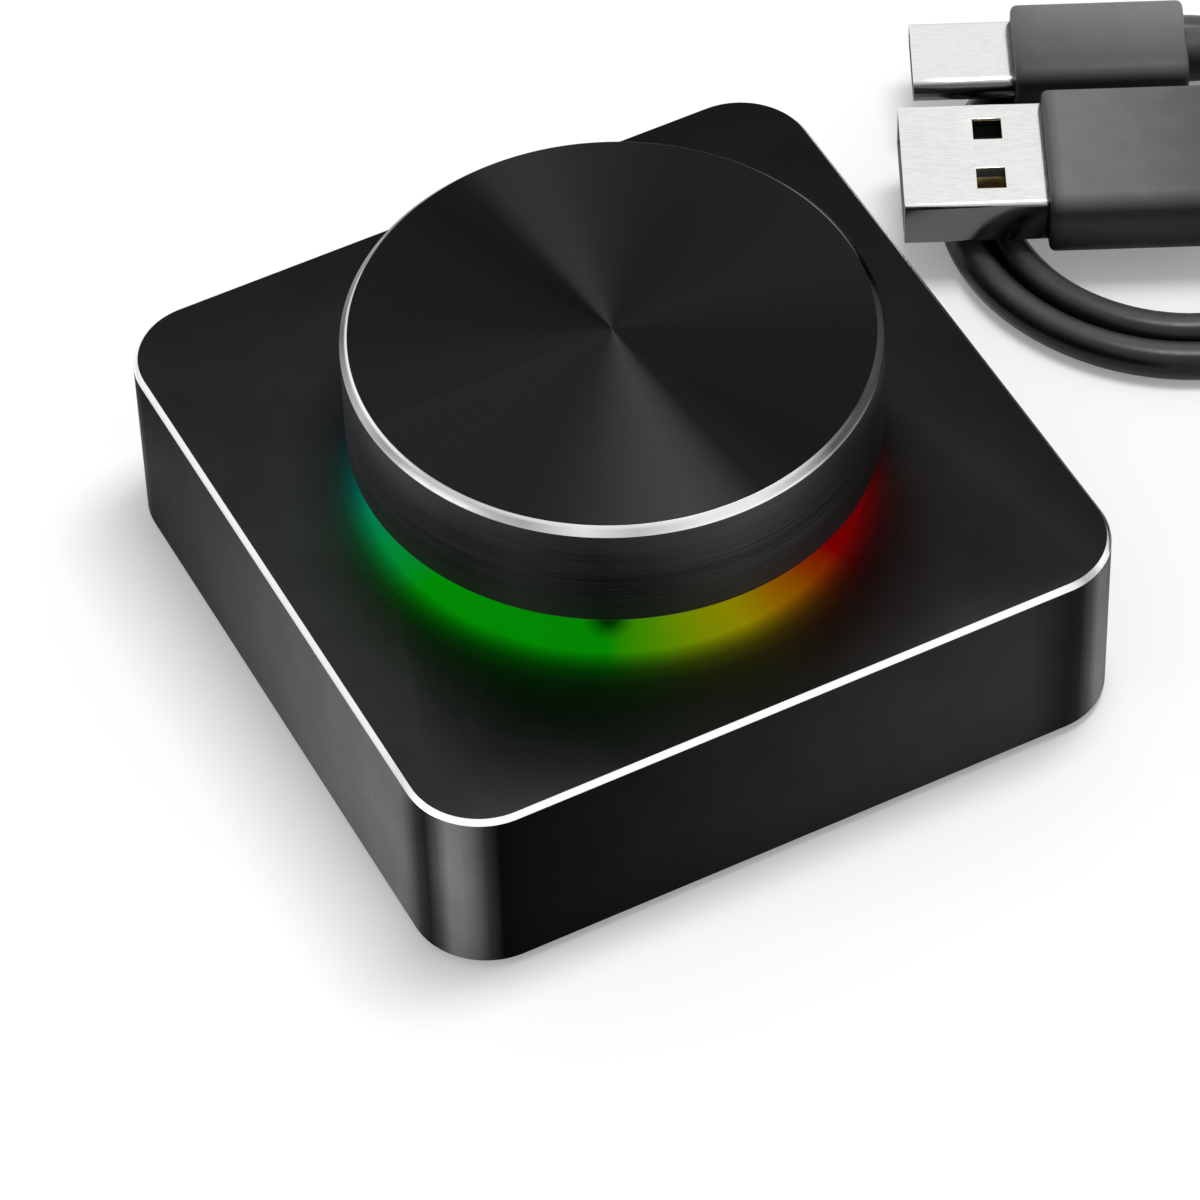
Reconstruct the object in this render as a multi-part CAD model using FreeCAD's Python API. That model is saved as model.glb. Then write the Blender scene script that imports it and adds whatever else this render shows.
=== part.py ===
import FreeCAD, Part

import math
import os

Vec = FreeCAD.Vector

# A volume knob for a desk: a square metal base that holds a rotary encoder with a push switch, a light
# ring and a USB-C socket, a round metal knob on the encoder's shaft, and its USB cable in a hank.
# Millimetres, +Z up. The origin is the centre of the anti-slip pad's underside, and the USB-C socket
# is in the wall at +Y.

# ---- driving dimensions: base casing ----
base_side = 60.0
base_height = 16.5
base_corner_r = 6.2
edge_in = 0.37                  # the bright edge round the top: how far it runs in and down
edge_down = 0.46
wall = 2.0
roof = 2.0
pad_thickness = 0.8
pad_inset = 2.5
cover_thickness = 1.8
cover_boss_r = 4.4
cover_boss_inset = 6.0          # from the base's side to the boss's axis
board_boss_r = 2.4
board_boss_inset = 4.2
board_boss_spread = 13.0        # from the middle of the side to the boss's axis

# ---- driving dimensions: screws ----
screw_r = 1.0
screw_head_r = 1.9
screw_head_h = 1.1
screw_grip = 4.0                # how far a screw reaches into its boss
screw_recess_r = 0.8            # hexagon recess: half its width across the flats
screw_recess_depth = 0.5
hex_sides = 6

# ---- driving dimensions: light ring and the plate in it ----
window_r = 18.6
ring_wall = 2.2
ring_proud = 1.6
flange_thickness = 1.0
ring_flange = 2.0
plate_thickness = 1.5
plate_rim = 1.5
plate_flange = 0.8

# ---- driving dimensions: knob ----
knob_r = 21.0
knob_height = 10.0
knob_gap = 3.0                  # from the base's top to the knob's underside
knob_wall = 2.4
knob_roof = 2.5
knob_edge_in = 0.61             # the bright edge round the knob's top
knob_edge_down = 0.67
insert_disc = 2.0
insert_rim = 1.5
insert_rim_rise = 1.5           # the insert's rim stops this far above the knob's underside
hub_r = 5.5
rib_count = 6
rib_thickness = 1.4
rib_rise = 3.0

# ---- driving dimensions: encoder ----
encoder_x = 11.7
encoder_y = 12.0
encoder_height = 6.5
frame_sheet = 0.3
frame_width = 9.0
frame_tab = 2.0
bushing_r = 3.5
bushing_neck = 4.5
bushing_plate = 1.2
thread_groove = 0.2
thread_pitch = 0.75
washer_r = 5.5
washer_thickness = 0.5
nut_across = 10.0
nut_height = 2.0
shaft_r = 3.0
shaft_reach = 10.5              # above the encoder's top face
shaft_flat = 1.5                # from the axis to the flat
shaft_flat_length = 7.0
collar_over = 0.4
collar_height = 0.4
stem_r = 2.2
stem_flat = 1.7
rotor_r = 5.0
rotor_height = 1.8
rotor_notches = 20
rotor_notch_depth = 0.15
rotor_notch_width = 0.5
contact_disc = 0.1
wiper_thickness = 0.15
wiper_width = 0.8
wiper_count = 3
wiper_start = 45.0              # degrees from +X to the first wiper
spring_sheet = 0.15
spring_width = 1.1
spring_nub_r = 0.35
chamber_r = 5.25
chamber_floor = 2.4             # above the housing's underside
well_r = 2.45
well_floor = 0.5
dome_sheet = 0.1
dome_rise = 0.7
press_travel = 0.5
terminal_pitch = 2.5
terminal_width = 0.8
terminal_sheet = 0.3
terminal_below = 0.8            # how far a terminal stands out under the board

# ---- driving dimensions: boards and what is on them ----
board_thickness = 1.6
led_board_thickness = 1.0
led_board_outer = 22.5
led_board_inner = 10.0
led_count = 12
led_radial = 2.6
led_along = 3.4
led_height = 1.2
post_r = 1.4
post_circle = 20.5
post_count = 4
connector_x = 10.0
connector_y = 2.6
connector_at = 15.0
chip_side = 7.0
chip_height = 1.1
driver_x = 5.0
driver_y = 4.0
driver_height = 0.9
capacitor_x = 2.0
capacitor_y = 1.25
capacitor_height = 0.9
resistor_x = 1.6
resistor_y = 0.8
resistor_height = 0.45
small_part_pitch = 3.2
small_part_count = 5
ballast_x = 40.0
ballast_y = 30.0
ballast_corner_r = 3.0
ballast_gap = 0.9
ballast_behind = -4.0           # how far the ballast's middle lies from the base's middle

# ---- driving dimensions: USB-C socket ----
socket_width = 8.94
socket_height = 3.16
socket_length = 7.3
socket_sheet = 0.25
socket_back = 1.6
tongue_width = 6.6
tongue_thickness = 0.7
tongue_short = 0.9              # the tongue ends this far inside the mouth
socket_setback = 0.3            # the mouth lies this far inside the base's wall
contact_count = 6
contact_pitch = 1.0
contact_width = 0.5
contact_sheet = 0.1

# ---- driving dimensions: cable ----
cord_d = 3.2
hank_lobe_r = 21.0              # the hank is a flat dog-bone loop: two round lobes and a waist
hank_lobe_pitch = 59.8
hank_waist = 14.95              # half the waist, out to out
hank_left = 1.5
hank_near = 0.15
strand_spread = (8.6, 18.0)     # degrees of the waist's arc over which a third strand lies inside
tie_thickness = 0.8
tie_pitch = 2.9
cable_from_side = 2.15          # the cable's own corner lies this far off the base's +X side
cable_behind = 6.5              # and this far behind the base's middle
cable_turn = -26.1              # its X runs at this angle to the base's
usb_a_axis = 19.3               # the plugs lie along the cable's own X, at these depths
usb_c_axis = 33.4
usb_a_end = 35.0                # where each plug's strain relief ends and the lead starts
usb_c_end = 32.9
usb_a_shell = (12.0, 12.0, 4.5)         # length, width, height
usb_a_body = (15.5, 14.0, 6.8)
usb_a_relief = (9.0, 2.7)               # length, radius
usb_c_shell = (8.6, 8.25, 2.4)
usb_c_body = (14.6, 9.4, 5.4)
usb_c_relief = (9.6, 2.35)
plug_sheet = 0.3
plug_body_round = 1.2
relief_taper = 0.35
bend_share = 0.45               # how much of the shorter run a lead's bend takes
usb_a_hole = 2.4
usb_a_hole_spread = 2.9
usb_a_hole_from_tip = 7.3
usb_a_tongue = 1.84
usb_a_contact_pitch = 2.3
usb_a_contact_width = 1.2
usb_a_contact_count = 4
plug_contact_count = 6
plug_contact_length = 5.0

# ---- clearances ----
fit = 0.1                       # between pieces that drop into each other
cover_fit = 0.15
thread_fit = 0.05
running_fit = 0.04              # the shaft in its bushing
slide_fit = 0.06                # the shaft's stem in the rotor
axial_play = 0.1
part_gap = 0.05
board_gap = 0.5                 # round the main board
press_gap = 0.3                 # left under the hub when the knob is down
past = 1.0                      # how far a cutting tool runs past a face
sink = 0.5                      # how far a boss runs into the wall it grows from

# ---- heights ----
base_bottom = pad_thickness
base_top = base_bottom + base_height
roof_under = base_top - roof
cover_top = base_bottom + cover_thickness
ring_under = roof_under - flange_thickness
plate_under = base_top - plate_thickness
plate_flange_under = ring_under - flange_thickness
board_top = plate_under - encoder_height
board_under = board_top - board_thickness
terminal_tip = board_under - terminal_below
led_board_top = ring_under - fit - led_height
led_board_under = led_board_top - led_board_thickness
socket_z = board_under - socket_height / 2
knob_under = base_top + knob_gap
knob_top = knob_under + knob_height
knob_roof_under = knob_top - knob_roof
frame_under = plate_under - frame_sheet
bushing_under = frame_under - bushing_plate
bushing_top = plate_under + bushing_neck
hub_under = bushing_top + press_travel + press_gap
shaft_top = plate_under + shaft_reach
collar_top = bushing_under - axial_play
collar_under = collar_top - collar_height
chamber_z = board_top + chamber_floor
contact_z = chamber_z + wiper_thickness + axial_play
rotor_under = contact_z + contact_disc
rotor_top = rotor_under + rotor_height
rotor_recess = collar_under - press_travel - axial_play
well_z = board_top + well_floor
dome_top = well_z + dome_rise
stem_under = chamber_z - press_travel + axial_play
plunger_top = stem_under - part_gap
plunger_under = dome_top + part_gap

# ---- places ----
half = base_side / 2
inner_side = base_side - 2 * wall
inner_corner_r = base_corner_r - wall
cover_side = inner_side - 2 * cover_fit
cover_boss = half - cover_boss_inset
board_boss = half - board_boss_inset
board_side = inner_side - 2 * board_gap
insert_r = knob_r - knob_wall - fit
ring_outer = window_r - cover_fit
ring_inner = ring_outer - ring_wall
plate_r = ring_inner - fit
cover_points = [(x, y) for x in (-cover_boss, cover_boss) for y in (-cover_boss, cover_boss)]
board_points = [(x, y) for x in (-board_boss, board_boss) for y in (-board_boss_spread, board_boss_spread)]

# ---- the cable's own frame ----
hank_x = hank_left + hank_lobe_r
waist_x = hank_x + hank_lobe_pitch / 2
hank_y = hank_near + hank_lobe_r
waist_r = (hank_lobe_pitch ** 2 / 4 + hank_waist ** 2 - hank_lobe_r ** 2) / (2 * (hank_lobe_r - hank_waist))
layer = cord_d + part_gap
plug_rest = layer + part_gap


def box(x0, x1, y0, y1, z0, z1):
    """Box between two corners."""
    return Part.makeBox(x1 - x0, y1 - y0, z1 - z0, Vec(x0, y0, z0))


def block(size_x, size_y, z0, z1, x=0.0, y=0.0):
    """Box centred on (x, y)."""
    return box(x - size_x / 2, x + size_x / 2, y - size_y / 2, y + size_y / 2, z0, z1)


def disc(radius, z0, z1, x=0.0, y=0.0):
    """Upright cylinder."""
    return Part.makeCylinder(radius, z1 - z0, Vec(x, y, z0))


def tube(outer, inner, z0, z1, x=0.0, y=0.0):
    """Upright tube."""
    return disc(outer, z0, z1, x, y).cut(disc(inner, z0 - past, z1 + past, x, y))


def hexagon(across, z0, z1, x=0.0, y=0.0):
    """Upright six-sided prism, by its width across the flats."""
    step = 2 * math.pi / hex_sides
    corner = across / 2 / math.cos(step / 2)
    points = [Vec(x + corner * math.cos(i * step), y + corner * math.sin(i * step), z0)
              for i in range(hex_sides + 1)]
    return Part.Face(Part.makePolygon(points)).extrude(Vec(0, 0, z1 - z0))


def rounded(size_x, size_y, corner_r, z0, z1, x=0.0, y=0.0):
    """Upright block with round corners."""
    plain = block(size_x, size_y, z0, z1, x, y)
    upright = [e for e in plain.Edges if abs(e.Vertexes[0].Z - e.Vertexes[1].Z) > sink / 2]
    return plain.makeFillet(corner_r, upright)


def turned(profile):
    """Solid turned about Z from (radius, height) points."""
    points = [Vec(r, 0, z) for r, z in profile + profile[:1]]
    return Part.Face(Part.makePolygon(points)).revolve(Vec(0, 0, 0), Vec(0, 0, 1), 360)


def around(shape, count, start=0.0):
    """Copies of a shape spread evenly about Z."""
    copies = []
    for i in range(count):
        one = shape.copy()
        one.rotate(Vec(0, 0, 0), Vec(0, 0, 1), start + 360.0 * i / count)
        copies.append(one)
    return copies


def screw(x, y, seat):
    """Pan-head screw pointing up, with its head under the height seat and a hexagon recess."""
    body = disc(screw_head_r, seat - screw_head_h, seat, x, y)
    body = body.fuse(disc(screw_r, seat - screw_head_h / 2, seat + screw_grip, x, y))
    recess_top = seat - screw_head_h + screw_recess_depth
    return body.cut(hexagon(2 * screw_recess_r, seat - screw_head_h - past, recess_top, x, y))


# ---------------------------------------------------------------- base casing

def stadium(width, height, x0, x1, y=0.0, z=0.0):
    """Bar along X with a section that is flat above and below and round at both sides."""
    r = height / 2
    bar = box(x0, x1, y - width / 2 + r, y + width / 2 - r, z - r, z + r)
    for side in (y - width / 2 + r, y + width / 2 - r):
        bar = bar.fuse(Part.makeCylinder(r, x1 - x0, Vec(x0, side, z), Vec(1, 0, 0)))
    return bar.removeSplitter()


def to_back(shape):
    """Turn a shape made along +X so that it points along +Y."""
    turned_shape = shape.copy()
    turned_shape.rotate(Vec(0, 0, 0), Vec(0, 0, 1), 90)
    return turned_shape


def outline(size, corner_r, z):
    """Closed wire of a square with round corners."""
    solid = rounded(size, size, corner_r, z, z + past)
    low = [face for face in solid.Faces if face.BoundBox.ZMax < z + part_gap]
    return low[0].OuterWire


def base_body():
    """Outside of the base: an upright block whose top edge is cut to a narrow bright chamfer."""
    shoulder = base_top - edge_down
    lower = rounded(base_side, base_side, base_corner_r, base_bottom, shoulder)
    top_side = base_side - 2 * edge_in
    upper = Part.makeLoft([outline(base_side, base_corner_r, shoulder),
                           outline(top_side, base_corner_r - edge_in, base_top)], True, True)
    return lower.fuse(upper).removeSplitter()


def base_shell():
    """Metal shell, open below, with bosses for the cover and the main board and the socket's slot."""
    shell = base_body()
    shell = shell.cut(rounded(inner_side, inner_side, inner_corner_r, base_bottom - past, roof_under))
    for x, y in cover_points:
        shell = shell.fuse(disc(cover_boss_r, cover_top, roof_under + sink, x, y))
    for x, y in board_points:
        shell = shell.fuse(disc(board_boss_r, board_top, roof_under + sink, x, y))
    for x, y in cover_points:
        shell = shell.cut(disc(screw_r + thread_fit, cover_top - past, cover_top + screw_grip + fit, x, y))
    for x, y in board_points:
        shell = shell.cut(disc(screw_r + thread_fit, board_top - past, board_top + screw_grip + fit, x, y))
    shell = shell.cut(disc(window_r, roof_under - past, base_top + past))
    slot = stadium(socket_width + 2 * cover_fit, socket_height + 2 * cover_fit,
                   half - wall - past, half + past, 0, socket_z)
    return shell.cut(to_back(slot))


def bottom_cover():
    """Plate that closes the shell from below, with counterbored holes for its four screws."""
    cover = rounded(cover_side, cover_side, inner_corner_r - cover_fit, base_bottom, cover_top)
    seat = base_bottom + screw_head_h
    for x, y in cover_points:
        cover = cover.cut(disc(screw_r + fit, base_bottom, cover_top + past, x, y))
        cover = cover.cut(disc(screw_head_r + fit, base_bottom - past, seat, x, y))
    return cover


def cover_screws():
    """Four screws up through the cover into the corner bosses."""
    return [screw(x, y, base_bottom + screw_head_h) for x, y in cover_points]


def anti_slip_pad():
    """Rubber sheet stuck under the cover, over the screw heads."""
    side = base_side - 2 * pad_inset
    return rounded(side, side, base_corner_r - pad_inset, 0, pad_thickness)


def ballast_plate():
    """Steel weight stuck to the cover, below the board."""
    top = terminal_tip - ballast_gap
    return rounded(ballast_x, ballast_y, ballast_corner_r, cover_top, top, 0, ballast_behind)


# ---------------------------------------------------------------- light

def light_ring():
    """Milky ring that stands up through the roof's window, with a flange under the roof."""
    neck = tube(ring_outer, ring_inner, ring_under, base_top + ring_proud)
    return neck.fuse(tube(window_r + ring_flange, ring_inner, ring_under, roof_under)).removeSplitter()


def centre_plate():
    """Black dish inside the ring: the encoder is clamped to it, and its rim's flange holds the ring up."""
    plate = disc(plate_r, plate_flange_under, base_top)
    plate = plate.cut(disc(plate_r - plate_rim, plate_flange_under - past, plate_under))
    flange = tube(ring_inner + plate_flange, plate_r - plate_rim, plate_flange_under, ring_under)
    return plate.fuse(flange).removeSplitter().cut(disc(bushing_r + fit, plate_under - past, base_top + past))


def led_board():
    """Ring-shaped board under the light ring."""
    return tube(led_board_outer, led_board_inner, led_board_under, led_board_top)


def leds():
    """Lamps on the board, below the ring's flange."""
    middle = (ring_inner + plate_flange + window_r + ring_flange) / 2
    one = block(led_radial, led_along, led_board_top, led_board_top + led_height, middle, 0)
    return around(one, led_count)


def board_posts():
    """Posts that carry the light's board on the main board."""
    return around(disc(post_r, board_top, led_board_under, post_circle, 0), post_count, 180.0 / post_count)


def board_connector():
    """Stacking connector between the two boards."""
    return block(connector_x, connector_y, board_top, led_board_under, 0, -connector_at)


# ---------------------------------------------------------------- main board

def main_board():
    """Board with its corners cut away round the cover's bosses, and holes for screws and terminals."""
    board = block(board_side, board_side, board_under, board_top)
    low, high = board_under - past, board_top + past
    notch = 2 * (half - cover_boss + cover_boss_r + board_gap)
    for x, y in cover_points:
        board = board.cut(block(notch, notch, low, high, math.copysign(half, x), math.copysign(half, y)))
    for x, y in board_points:
        board = board.cut(disc(screw_r + fit, low, high, x, y))
    for x, y in terminal_points():
        board = board.cut(block(terminal_width + 2 * fit, terminal_sheet + 2 * fit, low, high, x, y))
    for side in (-1, 1):
        x = side * (encoder_x + frame_sheet) / 2
        board = board.cut(block(frame_sheet + 2 * fit, frame_tab + 2 * fit, low, high, x, 0))
    return board


def board_screws():
    """Four screws up through the board into its bosses."""
    return [screw(x, y, board_under) for x, y in board_points]


def on_board(size_x, size_y, height, x, y):
    """Flat component on the main board's top."""
    return block(size_x, size_y, board_top, board_top + height, x, y)


def controller_chip():
    """Controller, beside the encoder."""
    return on_board(chip_side, chip_side, chip_height, -(encoder_x + chip_side) / 2 - small_part_pitch, 0)


def driver_chip():
    """Lamp driver, on the encoder's other side."""
    return on_board(driver_x, driver_y, driver_height, (encoder_x + driver_x) / 2 + small_part_pitch, 0)


def small_parts(size_x, size_y, height, y):
    """Row of equal small components along X."""
    first = -small_part_pitch * (small_part_count - 1) / 2
    return [on_board(size_x, size_y, height, first + i * small_part_pitch, y) for i in range(small_part_count)]


def capacitors():
    """Row of capacitors behind the encoder, towards the socket."""
    return small_parts(capacitor_x, capacitor_y, capacitor_height, encoder_y / 2 + 2 * small_part_pitch)


def resistors():
    """Row of resistors between the encoder and the capacitors."""
    return small_parts(resistor_x, resistor_y, resistor_height, encoder_y / 2 + small_part_pitch)


# ---------------------------------------------------------------- USB-C socket

socket_mouth = half - socket_setback
socket_inner_end = socket_mouth - socket_length


def usb_socket_shell():
    """Sheet-metal sleeve of the socket, under the board, with its mouth in the base's wall."""
    sleeve = stadium(socket_width, socket_height, socket_inner_end, socket_mouth)
    hollow = stadium(socket_width - 2 * socket_sheet, socket_height - 2 * socket_sheet,
                     socket_inner_end - past, socket_mouth + past)
    sleeve = to_back(sleeve.cut(hollow))
    sleeve.translate(Vec(0, 0, socket_z))
    return sleeve


def usb_socket_tongue():
    """Plastic block that closes the sleeve's inner end, with the tongue that the plug goes over."""
    room = 2 * socket_sheet + 2 * part_gap
    body = stadium(socket_width - room, socket_height - room, socket_inner_end,
                   socket_inner_end + socket_back)
    body = body.fuse(box(socket_inner_end + socket_back / 2, socket_mouth - tongue_short,
                         -tongue_width / 2, tongue_width / 2, -tongue_thickness / 2, tongue_thickness / 2))
    body = to_back(body)
    body.translate(Vec(0, 0, socket_z))
    return body


def contact_row(count, pitch, width, x0, x1, z0, z1):
    """Strips along X, side by side about Y = 0."""
    first = -pitch * (count - 1) / 2
    return [box(x0, x1, first + i * pitch - width / 2, first + i * pitch + width / 2, z0, z1)
            for i in range(count)]


def usb_socket_contacts():
    """Contact strips on both faces of the tongue."""
    strips = []
    for face in (tongue_thickness / 2, -tongue_thickness / 2 - contact_sheet):
        strips += contact_row(contact_count, contact_pitch, contact_width,
                              socket_inner_end + socket_back, socket_mouth - 2 * tongue_short,
                              face, face + contact_sheet)
    strips = [to_back(s) for s in strips]
    for strip in strips:
        strip.translate(Vec(0, 0, socket_z))
    return strips


# ---------------------------------------------------------------- encoder

def flatted(radius, flat, z0, z1, sides):
    """Round bar with one flat (a D) or two, at the distance flat from the axis."""
    bar = disc(radius, z0, z1)
    bar = bar.cut(box(flat, radius + past, -radius - past, radius + past, z0 - past, z1 + past))
    if sides == 2:
        bar = bar.cut(box(-radius - past, -flat, -radius - past, radius + past, z0 - past, z1 + past))
    return bar


def encoder_housing():
    """Plastic base of the encoder, with the rotor's chamber and the switch's well below it."""
    body = block(encoder_x, encoder_y, board_top, bushing_under)
    body = body.cut(disc(chamber_r, chamber_z, bushing_under + past))
    return body.cut(disc(well_r, well_z, bushing_under + past))


def encoder_bushing():
    """Cast plate over the rotor with the threaded neck that the shaft turns in."""
    body = block(encoder_x, encoder_y, bushing_under, frame_under)
    body = body.fuse(disc(bushing_r, bushing_under, bushing_top))
    z = plate_under + thread_pitch
    while z < bushing_top - thread_pitch / 2:
        body = body.cut(tube(bushing_r + past, bushing_r - thread_groove, z - thread_pitch / 4,
                             z + thread_pitch / 4))
        z += thread_pitch
    return body.cut(disc(shaft_r + running_fit, bushing_under - past, bushing_top + past))


def encoder_frame():
    """Sheet-metal strap over the encoder, with a leg down each side through the board."""
    outer = encoder_x + 2 * frame_sheet
    strap = block(outer, frame_width, frame_under, plate_under)
    for side in (-1, 1):
        x = side * (encoder_x + frame_sheet) / 2
        strap = strap.fuse(block(frame_sheet, frame_width, board_top + fit, plate_under, x, 0))
        strap = strap.fuse(block(frame_sheet, frame_tab, terminal_tip, plate_under, x, 0))
    return strap.removeSplitter().cut(disc(bushing_r + part_gap, frame_under - past, plate_under + past))


def terminal_points():
    """Places of the encoder's terminals: three at the front and two, for the switch, at the back."""
    y = (encoder_y + terminal_sheet) / 2
    front = [(i * terminal_pitch, -y) for i in (-1, 0, 1)]
    return front + [(-terminal_pitch, y), (terminal_pitch, y)]


def encoder_terminals():
    """Terminal strips down the housing's sides and through the board."""
    return [block(terminal_width, terminal_sheet, terminal_tip, chamber_z, x, y)
            for x, y in terminal_points()]


def encoder_washer():
    """Washer on the plate."""
    return tube(washer_r, bushing_r + fit, base_top, base_top + washer_thickness)


def encoder_nut():
    """Hexagon nut that clamps the plate to the encoder."""
    low = base_top + washer_thickness
    nut = hexagon(nut_across, low, low + nut_height)
    return nut.cut(disc(bushing_r + thread_fit, low - past, low + nut_height + past))


def encoder_shaft():
    """Shaft with a D at the top, a collar under the bushing and a stem with two flats in the rotor."""
    shaft = disc(shaft_r, collar_top, shaft_top)
    high = flatted(shaft_r + past, shaft_flat, shaft_top - shaft_flat_length, shaft_top + past, 1)
    shaft = shaft.cut(disc(shaft_r + past, shaft_top - shaft_flat_length, shaft_top + past).cut(high))
    shaft = shaft.fuse(disc(shaft_r + collar_over, collar_under, collar_top))
    return shaft.fuse(flatted(stem_r, stem_flat, stem_under, collar_under + collar_height / 2, 2))


def rotor_contact_disc():
    """Brass code disc on the rotor's underside."""
    return tube(rotor_r - fit, stem_r + 2 * fit, contact_z, rotor_under)


def encoder_rotor():
    """Plastic rotor: the stem turns it but slides through it, and notches in its top make the clicks."""
    rotor = disc(rotor_r, rotor_under, rotor_top)
    rotor = rotor.cut(disc(shaft_r + collar_over + fit, rotor_recess, rotor_top + past))
    rotor = rotor.cut(flatted(stem_r + slide_fit, stem_flat + slide_fit, rotor_under - past,
                              rotor_recess + past, 2))
    notch = box(shaft_r, rotor_r + past, -rotor_notch_width / 2, rotor_notch_width / 2,
                rotor_top - rotor_notch_depth, rotor_top + past)
    for cutter in around(notch, rotor_notches):
        rotor = rotor.cut(cutter)
    return rotor


def detent_spring():
    """Ring of spring sheet under the bushing, with two nubs over the rotor's notches."""
    inner = shaft_r + collar_over + fit
    low = bushing_under - spring_sheet
    spring = tube(inner + spring_width, inner, low, bushing_under)
    for nub in around(disc(spring_nub_r, rotor_top + fit, low + spring_sheet / 2,
                           inner + spring_width / 2, 0), 2):
        spring = spring.fuse(nub)
    return spring


def wiper_contacts():
    """Spring strips on the chamber's floor, under the code disc."""
    strip = box(well_r + fit, rotor_r - fit, -wiper_width / 2, wiper_width / 2, chamber_z,
                chamber_z + wiper_thickness)
    return around(strip, wiper_count, wiper_start)


def switch_plunger():
    """Plastic button between the shaft's stem and the dome."""
    return disc(well_r - fit, plunger_under, plunger_top)


def switch_dome():
    """Snap dome on the well's floor."""
    foot = well_r - fit
    crown = foot / 2
    outer = [(0, dome_top), (crown, dome_top), (foot, well_z + dome_sheet), (foot, well_z)]
    inner = [(foot - dome_sheet, well_z), (crown, dome_top - dome_sheet), (0, dome_top - dome_sheet)]
    return turned(outer + inner)


# ---------------------------------------------------------------- knob

def knob():
    """Turned metal cap with a bright chamfer round its top."""
    inner = knob_r - knob_wall
    return turned([(0, knob_top), (knob_r - knob_edge_in, knob_top), (knob_r, knob_top - knob_edge_down),
                   (knob_r, knob_under), (inner, knob_under), (inner, knob_roof_under),
                   (0, knob_roof_under)])


def knob_insert():
    """Plastic insert in the cap: a disc with a ribbed hub, bored to a D for the shaft."""
    disc_under = knob_roof_under - insert_disc
    body = disc(insert_r, disc_under, knob_roof_under)
    body = body.fuse(tube(insert_r, insert_r - insert_rim, knob_under + insert_rim_rise,
                          disc_under + insert_disc / 2))
    body = body.fuse(disc(hub_r, hub_under, disc_under + insert_disc / 2))
    rib = box(hub_r / 2, insert_r - insert_rim / 2, -rib_thickness / 2, rib_thickness / 2,
              knob_under + rib_rise, disc_under + insert_disc / 2)
    for one in around(rib, rib_count, 180.0 / rib_count):
        body = body.fuse(one)
    bore = flatted(shaft_r + part_gap, shaft_flat + part_gap, hub_under - past, shaft_top + fit, 1)
    return body.removeSplitter().cut(bore)


# ---------------------------------------------------------------- cable

def laid(shape):
    """Move a piece of the cable from the cable's own frame to its place beside the base."""
    shape.rotate(Vec(0, 0, 0), Vec(0, 0, 1), cable_turn)
    shape.translate(Vec(half + cable_from_side, cable_behind, 0))
    return shape


def bone_face(inset):
    """Dog-bone outline of the hank as a face, moved in by inset: four arcs, tangent to each other."""
    lobe = hank_lobe_r - inset
    arcs = []
    centres = {side: Vec(waist_x + side * hank_lobe_pitch / 2, hank_y, 0) for side in (-1, 1)}
    arms = {up: Vec(waist_x, hank_y + up * (hank_waist + waist_r), 0) for up in (-1, 1)}
    meet = {}
    for side, centre in centres.items():
        for up, arm in arms.items():
            reach = (arm - centre).normalize()
            meet[side, up] = centre + reach * lobe
    for side, centre in centres.items():
        end = centre + Vec(side * lobe, 0, 0)
        arcs.append(Part.Arc(meet[side, 1], end, meet[side, -1]).toShape())
    for up in arms:
        middle = Vec(waist_x, hank_y + up * (hank_waist - inset), 0)
        arcs.append(Part.Arc(meet[-1, up], middle, meet[1, up]).toShape())
    return Part.Face(Part.Wire(Part.__sortEdges__(arcs)))


def third_strand():
    """Stretch of the waist's near arc where a third strand lies inside the other two."""
    centre = Vec(waist_x, hank_y - hank_waist - waist_r, 0)
    first, last = strand_spread
    outer, inner = waist_r + 3 * cord_d, waist_r + 2 * cord_d - part_gap
    ring = Part.makeCylinder(outer, layer, centre, Vec(0, 0, 1), last - first)
    ring = ring.cut(Part.makeCylinder(inner, layer, centre, Vec(0, 0, 1), last - first))
    ring.rotate(centre, Vec(0, 0, 1), 90 - last)
    return ring


def cable_hank():
    """Body of the tied hank: two strands side by side, and a second layer right of the waist."""
    left = hank_left - past
    right = waist_x + hank_lobe_pitch
    flat = bone_face(0).cut(bone_face(2 * cord_d))
    low = flat.extrude(Vec(0, 0, layer))
    high = flat.extrude(Vec(0, 0, 2 * layer))
    high = high.common(box(waist_x, right, -past, 2 * hank_y + past, 0, 2 * layer))
    low = low.common(box(left, waist_x, -past, 2 * hank_y + past, 0, layer))
    body = low.fuse(high).fuse(third_strand()).removeSplitter()
    room = tie_pitch / 2 + tie_thickness
    return laid(body.cut(box(waist_x - room, waist_x + room, -past, 2 * hank_y + past, -past,
                             tie_thickness + fit)))


def cable_tie():
    """Two thin loops round the waist, over and under both groups of strands."""
    reach = hank_waist + 2 * fit
    low, high = hank_y - reach, hank_y + reach
    top = 2 * layer + fit
    loops = []
    for side in (-1, 1):
        x = waist_x + side * tie_pitch / 2 - tie_thickness / 2
        loop = box(x, x + tie_thickness, low - tie_thickness, high + tie_thickness, 0, top + tie_thickness)
        loops.append(laid(loop.cut(box(x - past, x + past + tie_thickness, low, high, tie_thickness, top))))
    return loops


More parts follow.
